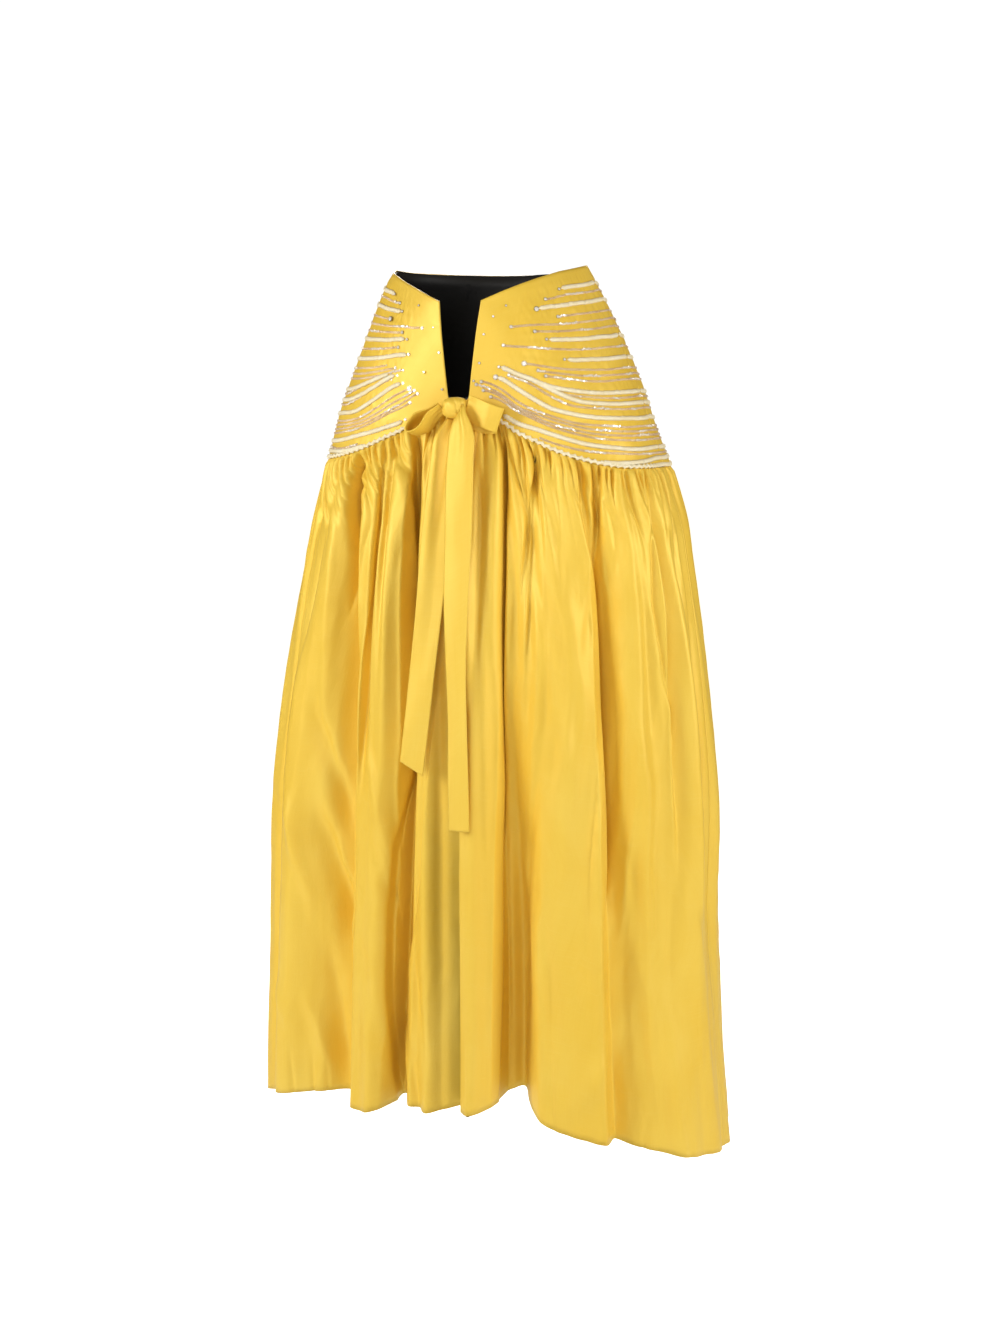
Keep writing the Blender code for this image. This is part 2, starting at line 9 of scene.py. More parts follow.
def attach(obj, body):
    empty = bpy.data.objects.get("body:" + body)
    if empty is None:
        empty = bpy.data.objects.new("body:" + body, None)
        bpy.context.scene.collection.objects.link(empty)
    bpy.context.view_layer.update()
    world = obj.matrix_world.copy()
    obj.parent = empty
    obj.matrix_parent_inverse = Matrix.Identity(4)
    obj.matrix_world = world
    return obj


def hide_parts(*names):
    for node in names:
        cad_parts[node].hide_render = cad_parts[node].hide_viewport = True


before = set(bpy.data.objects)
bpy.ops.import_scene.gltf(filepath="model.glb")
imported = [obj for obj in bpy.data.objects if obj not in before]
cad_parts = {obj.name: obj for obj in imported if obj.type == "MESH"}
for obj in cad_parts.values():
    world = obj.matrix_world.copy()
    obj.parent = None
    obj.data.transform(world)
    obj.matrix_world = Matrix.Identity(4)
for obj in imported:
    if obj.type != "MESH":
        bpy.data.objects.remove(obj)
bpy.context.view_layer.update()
print("frame loaded:", sorted(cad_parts))

# A long evening cloak in golden silk. Angles run round the body in degrees, 0 at the front and 90 at the
# wearer's left. A share runs down a piece, 0 at its top edge and 1 at its bottom edge.

# camera, at the photograph's angle

cameraPlace = {"turn": 20.0, "distance": 2.85, "height": -0.197, "aside": 0.009, "down": 8.2, "lens": 49.8}


def makeCamera():
    turn = math.radians(cameraPlace["turn"])
    data = bpy.data.cameras.new("camera")
    data.lens = cameraPlace["lens"]
    camera = bpy.data.objects.new("camera", data)
    aside = Vector((math.cos(turn), math.sin(turn), 0)) * cameraPlace["aside"]
    away = Vector((math.sin(turn), -math.cos(turn), 0)) * cameraPlace["distance"]
    camera.location = away + aside + Vector((0, 0, cameraPlace["height"]))
    camera.rotation_euler = (math.radians(90 - cameraPlace["down"]), 0, turn)
    bpy.context.scene.collection.objects.link(camera)
    bpy.context.scene.camera = camera


makeCamera()

# forms shared by the yoke and the skirt, close to the solids'

yokeForm = {
    "wall": 0.0026,
    "neckHalf": 0.151,
    "neckFront": 0.130,
    "neckBack": 0.139,
    "neckCentre": -0.019,
    "neckPower": 1.7,
    "seamLeft": 0.267,
    "seamRight": 0.254,
    "seamFront": 0.150,
    "seamBack": 0.156,
    "seamPower": 3.1,
    "bulge": 0.009,
    "bulgeAhead": 0.25,
    "backRise": 0.012,
    "leftDrop": 0.017,
    # angle from the front, height
    "neckline": (
        (0, -0.0560), (14, -0.0555), (27, -0.0430), (40, -0.0315), (52, -0.0220), (66, -0.0120),
        (90, 0.0), (104, -0.0020), (180, -0.0030),
    ),
    # distance from the centre, height
    "frontSeam": (
        (0.00, -0.209), (0.03, -0.215), (0.07, -0.230), (0.09, -0.243), (0.12, -0.256), (0.145, -0.267),
        (0.18, -0.279), (0.21, -0.286), (0.25, -0.291), (0.27, -0.291),
    ),
    # share down the front, distance of the notch's edge from the centre
    "notch": (
        (0.00, 0.0325), (0.30, 0.0265), (0.60, 0.0215), (0.84, 0.0172), (0.885, 0.0160), (0.905, 0.0135),
        (0.925, 0.0006), (1.00, 0.0006),
    ),
    "sideSeam": 89.94,
    "frontColumns": 110,
    "backColumns": 170,
    "rows": 64,
}

skirtForm = {
    "wall": 0.0020,
    "belowYoke": 0.0006,
    # share, left half width, right half width, front depth, back depth, power
    "rings": (
        (0.00, 0.267, 0.254, 0.150, 0.156, 3.1),
        (0.04, 0.284, 0.268, 0.160, 0.168, 3.0),
        (0.08, 0.299, 0.280, 0.168, 0.178, 2.9),
        (0.13, 0.310, 0.294, 0.175, 0.187, 2.8),
        (0.20, 0.322, 0.310, 0.181, 0.197, 2.7),
        (0.28, 0.332, 0.326, 0.186, 0.205, 2.6),
        (0.36, 0.340, 0.339, 0.190, 0.211, 2.5),
        (0.50, 0.350, 0.354, 0.195, 0.220, 2.5),
        (0.66, 0.353, 0.362, 0.198, 0.228, 2.5),
        (0.80, 0.361, 0.366, 0.200, 0.234, 2.5),
        (1.00, 0.380, 0.373, 0.202, 0.240, 2.5),
    ),
    # angle, height
    "hem": (
        (-180, -1.350), (-135, -1.346), (-100, -1.338), (-84, -1.330), (-65, -1.293), (-48, -1.276),
        (-40, -1.284), (-25, -1.270), (-6, -1.262), (5, -1.253), (17, -1.250), (27, -1.240), (33, -1.254),
        (39, -1.270), (57, -1.298), (77, -1.328), (95, -1.345), (135, -1.352), (180, -1.350),
    ),
    # share, angle of the left front's edge, angle of the right front's edge
    "openEdges": (
        (0.00, 0.10, -0.10), (0.10, 2.60, 2.40), (0.25, 6.00, 5.80), (0.50, 7.40, 8.60), (1.00, 7.80, 9.80),
    ),
    # angle of its line at the top, at 0.45 and at the hem, half width before and after it in degrees,
    # how much wider at the hem, the shares where it starts, is full and fades, depth outwards
    "folds": (
        (25.6, 22.8, 20.6, 1.7, 15, 1.15, 0.2, 0.9, 1.5, -0.066),
        (30, 28, 27.5, 5, 9.5, 1, 0.3, 0.8, 1.5, -0.028), (19, 16.5, 14, 6, 5.5, 1.2, 0.01, 0.2, 1.5, 0.01),
        (36.5, 31, 29, 1.2, 5, 1, -0.02, 0.05, 0.16, -0.012), (44, 43, 44, 7, 7, 1.3, 0.05, 0.4, 0.8, 0.006),
        (53, 55, 57, 1.8, 11, 1.5, -0.01, 0.3, 0.95, -0.036),
        (57.8, 46, 40, 2.2, 2.8, 1, -0.02, 0.04, 0.1, -0.009),
        (60, 61, 63, 4, 5, 1.2, 0.03, 0.3, 0.6, 0.006), (65.5, 68, 69, 2.5, 7, 1.5, 0.06, 0.35, 0.7, -0.014),
        (73.5, 74.5, 77, 1.5, 5, 1.4, -0.01, 0.14, 0.4, -0.013),
        (80, 80, 83, 4, 5, 1.2, 0.1, 0.4, 0.9, 0.006), (89, 86.5, 92, 3, 4, 1.6, -0.01, 0.2, 0.6, -0.01),
        (-8, -8.5, -8.5, 5, 5, 1.3, 0.1, 0.6, 1.5, 0.016),
        (-23.6, -21.5, -28, 1.6, 6.5, 1.6, -0.005, 0.13, 1.5, -0.062),
        (-30, -29, -34, 5, 5, 1.1, 0.02, 0.3, 1.5, 0.013),
        (-34.5, -30, -30, 2.2, 2.6, 1, -0.02, 0.08, 0.2, -0.009),
        (-38.5, -38.3, -39, 1.4, 3.8, 1, -0.01, 0.12, 0.36, -0.016),
        (-47, -43.5, -45, 9, 2, 1.2, -0.01, 0.2, 1.5, -0.044),
        (-56, -54, -52, 9, 7, 1.2, 0.4, 0.8, 1.5, -0.014), (-62, -63, -66, 6, 8, 1.1, 0.05, 0.4, 1.5, 0.012),
        (-68, -70, -73, 3, 4, 1.5, -0.01, 0.2, 0.7, -0.012),
        (-80, -79, -80, 5, 5, 1.3, 0.05, 0.5, 1.5, 0.008),
        (-88, -90, -91, 4, 4, 1.4, -0.01, 0.3, 1.5, -0.013),
        (101, 103, 104, 4, 5, 1.3, -0.01, 0.4, 1.5, -0.022),
        (112, 112, 113, 5, 5, 1.2, 0.04, 0.4, 1.5, 0.014),
        (120, 122, 123, 3, 7.5, 1.4, -0.01, 0.35, 1.5, -0.026),
        (131, 133, 135, 5, 5, 1.2, 0.05, 0.5, 1.5, 0.015),
        (139, 141, 147, 3, 3.5, 1.5, -0.01, 0.2, 0.55, -0.016),
        (150, 152, 157, 3.5, 8.5, 1.3, -0.01, 0.5, 1.5, -0.041),
        (163, 163, 166, 5.5, 5.5, 1.1, 0.05, 0.45, 1.5, 0.018),
        (172, 175, 177, 4, 4, 1.4, -0.01, 0.35, 0.6, -0.024),
        (184, 187, 189, 5, 5, 1.2, 0.05, 0.5, 1.5, 0.016),
        (193, 195, 193, 3, 3, 1.3, -0.01, 0.15, 0.45, -0.014),
        (203, 202, 200, 5, 3.5, 1.3, -0.01, 0.5, 1.5, -0.036),
        (214, 213, 211, 5, 5, 1.2, 0.05, 0.4, 1.5, 0.014),
        (224, 222, 223, 7, 3, 1.5, -0.01, 0.4, 0.85, -0.024),
        (235, 235, 234, 5, 5, 1.2, 0.05, 0.4, 1.5, 0.012),
        (244, 245, 246, 3.5, 3, 1.4, -0.01, 0.3, 0.8, -0.018),
        (257, 257, 256, 5, 4, 1.3, -0.01, 0.4, 1.5, -0.02),
    ),
    "leftEdgeFolds": ((8, 11, 11.2, 12, 8.5, 1, 0.02, 0.35, 1.5, 0.027),),
    "rightEdgeFolds": ((1, 6, 8, 8, 8, 1, 0.03, 0.35, 1.5, -0.01),),
    "fadeLength": 0.25,
    "foldMiddle": 0.45,
    "rounding": 0.0013,
    "columnsKept": 0.62,
    "fine": 1800,
}

# Sharp creases: depth, width before and after the line, and how far the ridge leans over its
# valley, in millimetres; the shares where it starts, is full and has gone; its line as share and angle.
creases = (
    (20, (2.5, 6), 4, (0, 0.05, 0.42), ((0, -50.5), (0.043, -53), (0.08, -52.2), (0.118, -51),
     (0.155, -49.4), (0.29, -45.6))),
    (34, (2.5, 16), 0, (0, 0.03, 0.26), ((0, -50.5), (0.043, -53), (0.08, -52.2), (0.118, -51),
     (0.155, -49.4))),
    (18, (30, 4), -3, (0.22, 0.4, 1.6), ((0.25, -43), (0.47, -40.5), (0.68, -40.5), (0.81, -42),
     (1, -42.5))),
    (9, (4, 10), 4, (-0.012, 0.04, 0.38), ((0, -38.8), (0.2, -38.6), (0.34, -39.5))),
    (6, (5, 9), 0, (-0.012, 0.03, 0.24), ((0, -34.5), (0.1, -33.5), (0.2, -32.5))),
    (25, (4, 21), 6, (-0.012, 0.05, 1.6), ((0, -24.8), (0.09, -24.4), (0.25, -22.8), (0.5, -22.6),
     (0.68, -27.5), (1, -29))),
    (8, (4, 8), 0, (-0.012, 0.03, 0.14), ((0, -17), (0.05, -16.5), (0.1, -15.5))),
    (8, (14, 4), -4, (0.3, 0.48, 1), ((0.33, -3), (0.46, -8), (0.52, -9.5), (0.66, -11.5), (0.71, -15),
     (0.76, -17.5), (0.81, -21), (0.9, -24))),
    (34, (2.6, 3.2), 3, (-0.012, 0.06, 0.62), ((0, 23.6), (0.1, 23.2), (0.25, 22.6), (0.5, 21.8),
     (0.8, 20.6), (1, 19.6))),
    (12, (2.6, 8), 3, (0.36, 0.6, 1.6), ((0.3, 22.4), (0.5, 21.8), (0.8, 20.6), (1, 19.6))),
    (7, (4, 8), 0, (-0.012, 0.03, 0.12), ((0, 31), (0.05, 30.2), (0.1, 29.5))),
    (11, (4, 14), 4, (-0.012, 0.03, 0.3), ((0, 38.5), (0.08, 34.5), (0.2, 31), (0.26, 30.5))),
    (7, (5, 9), 0, (-0.012, 0.03, 0.18), ((0, 45), (0.06, 44), (0.14, 44.5))),
    (19, (4, 20), 6, (-0.012, 0.03, 0.7), ((0, 52.6), (0.07, 51.2), (0.12, 52.2), (0.2, 53.4), (0.35, 54),
     (0.5, 55))),
    (9, (9, 4), -3, (-0.012, 0.03, 0.18), ((0, 59.5), (0.06, 57), (0.15, 54))),
    (6, (5, 8), 0, (-0.012, 0.03, 0.14), ((0, 66), (0.05, 65), (0.11, 65.4))),
    (9, (4, 12), 3, (-0.012, 0.03, 0.42), ((0, 74.5), (0.1, 71), (0.19, 69.5), (0.3, 72), (0.38, 75))),
    (8, (4, 12), 3, (-0.012, 0.04, 0.5), ((0, 89), (0.06, 86), (0.1, 84), (0.2, 82), (0.32, 81.5),
     (0.44, 86))),
    (3, (4, 5), 0, (0.72, 0.85, 1.6), ((0.78, 39.5), (1, 40.5))),
    (7, (9, 6), 0, (0.34, 0.45, 0.75), ((0.2, 53), (0.36, 53.5), (0.5, 52), (0.6, 50.5))),
    (6, (6, 10), 0, (-0.012, 0.05, 0.34), ((0, -58), (0.1, -60), (0.3, -64))),
    (7, (12, 5), 0, (-0.012, 0.05, 0.55), ((0, -68.5), (0.2, -71), (0.5, -73))),
    (12, (5, 18), 4, (-0.012, 0.04, 1.6), ((0, 121), (0.3, 122.5), (1, 124.5))),
    (8, (5, 10), 0, (-0.012, 0.04, 0.3), ((0, 132), (0.12, 129), (0.26, 127))),
    (13, (5, 22), 5, (-0.012, 0.06, 1.6), ((0, 150), (0.4, 152), (1, 156))),
    (8, (5, 12), 0, (-0.012, 0.06, 0.48), ((0.02, 160), (0.2, 162), (0.42, 166))),
    (11, (20, 5), -4, (-0.012, 0.06, 0.72), ((0, 172), (0.5, 175.5), (1, 178))),
    (8, (6, 10), 0, (-0.012, 0.05, 0.38), ((0, 190), (0.14, 193), (0.34, 195))),
    (12, (22, 5), -4, (-0.012, 0.06, 1.6), ((0, 203.5), (0.5, 202), (1, 200))),
    (10, (20, 5), -4, (-0.012, 0.06, 0.95), ((0, 224), (0.5, 222), (1, 223))),
    (8, (5, 9), 0, (-0.012, 0.05, 0.34), ((0.01, 236), (0.15, 238), (0.3, 237))),
    (8, (14, 5), 0, (-0.012, 0.05, 0.8), ((0, 247), (0.3, 246), (0.7, 245))),
)

# gathers under the seam: valleys between rounded ridges, each with its own size, place, reach and lean
gathers = {
    "front": 31,
    "back": 58,
    "depth": 0.0200,
    "rise": 0.009,
    "reach": (0.028, 0.105),
    "sizes": (0.40, 1.25),
    "leans": (0.6, 1.6),
    "jitter": 0.34,
    "wander": 0.55,
    "wanderLength": 0.12,
    "width": 0.20,
    "spread": 2.5,
    "puff": 0.0055,
    "puffLength": 0.070,
    "fading": 1.3,
    "atSeam": 0.16,
    "seeds": {"skirt_front_left": 41, "skirt_front_right": 42, "skirt_back": 43},
}

# softer folds that grow out of the gathers lower down
softFolds = {
    "front": 11,
    "back": 22,
    "seedStep": 60,
    "jitter": 0.45,
    "drift": 0.35,
    "bow": 0.20,
    "depth": (0.003, 0.0095),
    "width": (0.20, 0.34),
    "starts": (-0.02, 0.06),
    "ends": (0.16, 0.55),
    "leans": (0.5, 2.0),
    "growth": 0.07,
}

# soft slanted wrinkles: share and angle where each starts and ends, half width and depth in
# millimetres
buckles = (
    (0.4, -56, 0.56, -47.5, 14, -15), (0.56, -55, 0.74, -46, 17, -18), (0.53, -63, 0.68, -57, 12, 8),
    (0.78, -53, 0.98, -49, 18, -15), (0.62, -50, 0.74, -41.5, 8, 8), (0.84, -58, 0.95, -52, 10, 7),
    (0.46, -35, 0.63, -25.5, 9, 6), (0.6, -32, 0.74, -26, 8, -6), (0.74, -36, 0.9, -31, 10, -5),
    (0.9, -33, 1, -26, 10, 6), (0.84, -27, 0.96, -20, 10, 6), (0.78, -16, 0.93, -9, 10, -6),
    (0.92, -18, 1.01, -13, 7, -4.5), (0.94, -62, 1.02, -61, 4, -3), (0.95, -57, 1.02, -56.5, 4, -3),
    (0.955, -53, 1.02, -52.5, 4, -2.5), (0.8, -70, 0.9, -60, 10, 3), (0.56, 62, 0.74, 66, 12, -5.5),
    (0.8, 60, 0.95, 47, 16, 7), (0.62, 29, 0.78, 33, 14, 5), (0.7, 47, 0.9, 55, 18, -6),
    (0.94, 60, 0.985, 54, 6, 3.5), (0.955, 65, 1.01, 63, 5, -3), (0.9, 72, 1.01, 74, 7, -3),
    (0.6, 78, 0.72, 84, 10, -3.5), (0.26, 38, 0.46, 46, 14, 5.5), (0.66, 36, 0.86, 42, 14, -5.5),
    (0.3, 60, 0.48, 67, 14, 5), (0.22, 27, 0.4, 32, 12, -4.5), (0.52, -76, 0.62, -68, 10, -3.5),
    (0.72, 104, 0.84, 112, 10, -4), (0.88, 118, 0.98, 127, 9, 4), (0.5, 140, 0.62, 134, 10, -4),
    (0.74, 160, 0.87, 151, 11, 4.5), (0.92, 168, 1.01, 171, 6, -3.5), (0.6, 180, 0.73, 189, 10, -4),
    (0.82, 196, 0.94, 206, 10, 4), (0.55, 218, 0.67, 210, 10, -3.5), (0.78, 232, 0.9, 241, 10, -4),
    (0.93, 222, 1.01, 219, 6, -3), (0.64, 252, 0.76, 258, 10, 3.5),
)

# the cloth's own unevenness, in metres
skirtCloth = {
    # step of the seed, number of waves, their ranges across and down, sway
    "waves": (
        (10, 12, (2.5, 8), (0.1, 0.9), 0.9), (20, 16, (9, 22), (0.4, 1.6), 1.2),
        (30, 20, (5, 20), (4, 12), 2.0), (40, 8, (1.5, 4), (1.5, 4), 0.8),
    ),
    # height, and the share where it is full
    "slow": (0.0052, 0.3),
    "small": (0.0011, 0.1),
    "crumpled": (0.0016, 0.15),
    "leastCrumpled": 0.35,
    "seamFade": 3.0,
    "rowPower": 1.25,
}


def unit(vectors):
    return vectors / np.linalg.norm(vectors, axis=-1, keepdims=True)


def lengthsAlong(points, axis=0):
    # metres run up to each point, along a line or along one side of a grid
    steps = np.linalg.norm(np.diff(points, axis=axis), axis=-1)
    return np.insert(np.cumsum(steps, axis=axis), 0, 0, axis=axis)


def along(table, column, places):
    # a smooth curve through one column of a table
    rows = np.array(table, float)
    x, y = rows[:, 0], rows[:, column]
    slopes = np.gradient(y, x)
    places = np.clip(places, x[0], x[-1])
    k = np.clip(np.searchsorted(x, places, side="right") - 1, 0, len(x) - 2)
    step = x[k + 1] - x[k]
    t = (places - x[k]) / step
    return (
        y[k] * (1 + 2 * t) * (1 - t) ** 2
        + y[k + 1] * t * t * (3 - 2 * t)
        + slopes[k] * step * t * (1 - t) ** 2
        - slopes[k + 1] * step * t * t * (1 - t)
    )


def smoothStep(value):
    value = np.clip(value, 0, 1)
    return value * value * (3 - 2 * value)


def ring(angle, left, right, front, back, power, centre):
    turn = np.radians(angle)
    across, ahead = np.sin(turn), np.cos(turn)
    halfWidth = np.where(across > 0, left, right)
    depth = np.where(ahead > 0, front, back)
    reach = ((np.abs(across) / halfWidth) ** power + (np.abs(ahead) / depth) ** power) ** (-1 / power)
    return reach * across, centre - reach * ahead


def turned(angle):
    return (angle + 180) % 360 - 180


def seamRing(angle):
    f = yokeForm
    return ring(angle, f["seamLeft"], f["seamRight"], f["seamFront"], f["seamBack"], f["seamPower"], 0.0)


def seamHeight(angle, x):
    turn = np.radians(angle)
    front = along(yokeForm["frontSeam"], 1, np.abs(x))
    back = yokeForm["frontSeam"][-1][1] + yokeForm["backRise"] * np.cos(turn) ** 2
    return np.where(np.cos(turn) > 0, front, back) - yokeForm["leftDrop"] * x


def yokeSurface(angle, share):
    f = yokeForm
    neckSides = f["neckHalf"], f["neckHalf"], f["neckFront"], f["neckBack"]
    x0, y0 = ring(angle, *neckSides, f["neckPower"], f["neckCentre"])
    x1, y1 = seamRing(angle)
    neck = np.array(f["neckline"], float)
    z0 = np.interp(np.abs(turned(angle)), neck[:, 0], neck[:, 1])
    z1 = seamHeight(angle, x1)
    turn = np.radians(angle)
    ahead = f["bulgeAhead"]
    bulge = 4 * share * (1 - share) * f["bulge"] * (ahead + (1 - ahead) * np.sin(turn) ** 2)
    x = x0 + (x1 - x0) * share + bulge * np.sin(turn)
    y = y0 + (y1 - y0) * share - bulge * np.cos(turn)
    return np.stack([x, y, z0 + (z1 - z0) * share], -1)


def yokeOutward(angle, share):
    # unit directions square to the yoke's surface, away from the body
    low, high = np.clip(share - 0.01, 0, 1), np.clip(share + 0.01, 0, 1)
    around = yokeSurface(angle + 0.5, share) - yokeSurface(angle - 0.5, share)
    down = yokeSurface(angle, high) - yokeSurface(angle, low)
    return unit(np.cross(down, around))


def notchAngle(share):
    edge = np.array(yokeForm["notch"], float)
    distance = np.interp(share, edge[:, 0], edge[:, 1])
    angle = np.degrees(np.arctan2(distance, yokeForm["seamFront"]))
    for _ in range(6):
        place = yokeSurface(angle, share)
        angle = angle + np.degrees((distance - place[..., 0]) / yokeForm["seamFront"])
    return angle


def skirtBase(angle, share):
    left, right, front, back, power = (along(skirtForm["rings"], column, share) for column in range(1, 6))
    x, y = ring(angle, left, right, front, back, power, 0.0)
    top = seamHeight(angle, seamRing(angle)[0]) - skirtForm["belowYoke"]
    hem = along(skirtForm["hem"], 1, turned(angle))
    return np.stack([x, y, top + (hem - top) * share], -1)


def foldHeight(folds, angle, share):
    height = np.zeros_like(angle)
    for fold in folds:
        before, after, widening, starts, full, fades, depth = fold[3:]
        centre = np.interp(share, (0, skirtForm["foldMiddle"], 1), fold[:3])
        offset = turned(angle - centre)
        reach = np.where(offset < 0, before, after) * (1 + (widening - 1) * share)
        growth = smoothStep((share - starts) / (full - starts))
        fading = 1 - smoothStep((share - fades) / skirtForm["fadeLength"])
        height += depth * growth * fading * (1 - smoothStep(np.abs(offset) / reach))
    return height


def planOutward(points):
    run = np.gradient(points, axis=0)
    return unit(np.stack([run[:, 1], -run[:, 0], np.zeros(len(run))], -1))


def clothRun(points):
    return lengthsAlong(points[:, :2])


def readRow(values, run, places):
    return np.stack([np.interp(places, run, values[:, axis]) for axis in range(3)], -1)


def roundedOff(points, length):
    spread = skirtForm["rounding"] * len(points) / length
    reach = int(4 * spread)
    weights = np.exp(-0.5 * (np.arange(-reach, reach + 1) / spread) ** 2)
    weights /= weights.sum()
    before = 2 * points[0] - points[reach:0:-1]
    after = 2 * points[-1] - points[-2 : -reach - 2 : -1]
    padded = np.concatenate([before, points, after])
    return np.stack([np.convolve(padded[:, axis], weights, mode="valid") for axis in range(3)], -1)


def ripples(seed, count, acrossRange, downRange, sway):
    # a sum of soft waves across and down a cloth, the same every run
    chance = np.random.default_rng(seed)
    wholeTurn = 6.283
    waves = [
        (chance.uniform(*acrossRange) * chance.choice((-1, 1)),
         chance.uniform(*downRange) * chance.choice((-1, 1)),
         chance.uniform(0, 6.3), chance.uniform(0.5, 1.8), chance.uniform(0, 6.3), chance.uniform(0.5, 1.0))
        for _ in range(count)
    ]

    def height(across, down):
        total = 0.0
        for a, d, phase, slow, turn, size in waves:
            bent = sway * np.sin(wholeTurn * slow * down + turn)
            total = total + size * np.cos(wholeTurn * (a * across + d * down) + phase + bent)
        return total / math.sqrt(count)

    return height


# materials

colours = {
    "silk": (0.860, 0.600, 0.076),
    "silkDeep": (0.800, 0.490, 0.040),
    "silkPale": (0.900, 0.690, 0.150),
    "lining": (0.010, 0.010, 0.011),
    "liningPale": (0.022, 0.022, 0.024),
    "cream": (0.990, 0.940, 0.740),
    # deeper cream in patches, and painted shade in the cord's grooves
    "creamDeepAndPaintedShade": (0.900, 0.780, 0.480),
    "chain": (0.640, 0.375, 0.205),
    # painted glints on the chain rows, in patches, flecks and the grooves between strands
    "chainPaintedGlint": (0.980, 0.850, 0.680),
    "stone": (0.720, 0.730, 0.760),
    "stonePale": (0.98, 0.97, 0.95),
    "setting": (0.350, 0.300, 0.240),
    "settingPale": (0.55, 0.45, 0.32),
    "sequin": (1.0, 0.98, 0.93),
    "sequinWarm": (1.0, 0.90, 0.78),
    "paper": (0.92, 0.92, 0.92),
    "roomGlow": (1.0, 0.74, 0.34),
    "white": (1, 1, 1),
}


def colour(name):
    return (*colours[name], 1)


def fill(tree, node, values):
    # an input takes a number, a colour or another node's output
    for key, value in values.items():
        if hasattr(value, "is_linked"):
            tree.links.new(value, node.inputs[key])
        else:
            node.inputs[key].default_value = value


def addNode(tree, kind, settings, values):
    node = tree.nodes.new(kind)
    for key, value in settings.items():
        setattr(node, key, value)
    fill(tree, node, values)
    return node


def newGroup(name, inputs):
    # an input is given by its kind of socket, or by the number it starts from
    group = bpy.data.node_groups.new(name, "ShaderNodeTree")
    for label, value in inputs.items():
        kind = value if isinstance(value, str) else "Float"
        socket = group.interface.new_socket(label, in_out="INPUT", socket_type="NodeSocket" + kind)
        if kind == "Float":
            socket.default_value = value
    for label, kind in (("Colour", "Color"), ("Roughness", "Float"), ("Height", "Float")):
        group.interface.new_socket(label, in_out="OUTPUT", socket_type="NodeSocket" + kind)
    return group, group.nodes.new("NodeGroupInput").outputs, group.nodes.new("NodeGroupOutput")


def mapped(tree, source, scale):
    return addNode(tree, "ShaderNodeMapping", {}, {"Vector": source, "Scale": scale}).outputs["Vector"]


def noise(tree, source, scale, detail, rough):
    values = {"Vector": source, "Scale": scale, "Detail": detail, "Roughness": rough}
    return addNode(tree, "ShaderNodeTexNoise", {}, values).outputs["Fac"]


def maths(tree, operation, first, second):
    return addNode(tree, "ShaderNodeMath", {"operation": operation}, {0: first, 1: second}).outputs[0]


def mixed(tree, factor, first, second):
    values = {0: factor, 6: first, 7: second}
    return addNode(tree, "ShaderNodeMix", {"data_type": "RGBA"}, values).outputs[2]


def stretched(tree, value, low, high, lowTo=0.0, highTo=1.0):
    values = {0: value, 1: low, 2: high, 3: lowTo, 4: highTo}
    return addNode(tree, "ShaderNodeMapRange", {}, values).outputs[0]


def wovenGroup():
    # plain woven cloth: threads both ways, thicker threads here and there, a soft crumple
    group, given, made = newGroup("wovenCloth", {
        "Place": "Vector", "Colour": "Color", "Deep Colour": "Color", "Pale Colour": "Color",
        "Threads": 1400.0, "Slubs": 0.5, "Crumple": 0.5, "Roughness": 0.42,
    })
    place, deep, pale = given["Place"], given["Deep Colour"], given["Pale Colour"]
    slub = noise(group, mapped(group, place, (16, 420, 1)), 1.0, 3.0, 0.6)
    warp = noise(group, mapped(group, place, (520, 9, 1)), 1.0, 2.0, 0.5)
    cloud = noise(group, mapped(group, place, (7, 3, 1)), 1.0, 3.0, 0.55)
    crumple = noise(group, mapped(group, place, (38, 15, 1)), 1.0, 4.0, 0.55)
    wave = {"Vector": place, "Scale": given["Threads"], "Distortion": 0.6, "Detail": 1.0}
    weft = addNode(group, "ShaderNodeTexWave", {"bands_direction": "Y"}, wave).outputs["Fac"]
    tone = mixed(group, stretched(group, cloud, 0.35, 0.68), deep, pale)
    body = mixed(group, stretched(group, cloud, 0.2, 0.8, 0.25, 0.30), given["Colour"], tone)
    streak = mixed(group, stretched(group, slub, 0.52, 0.80, 0.0, 0.22), body, pale)
    threads = maths(group, "MULTIPLY", weft, 0.05)
    thick = maths(group, "MULTIPLY", given["Slubs"], 0.35)
    slubs = maths(group, "MULTIPLY", maths(group, "ADD", slub, warp), thick)
    soft = maths(group, "MULTIPLY", crumple, maths(group, "MULTIPLY", given["Crumple"], 4.0))
    fill(group, made, {
        "Colour": mixed(group, stretched(group, warp, 0.50, 0.80, 0.0, 0.16), streak, deep),
        "Roughness": maths(group, "ADD", given["Roughness"], stretched(group, slub, 0.3, 0.7, -0.05, 0.06)),
        "Height": maths(group, "ADD", maths(group, "ADD", threads, slubs), soft),
    })
    return group


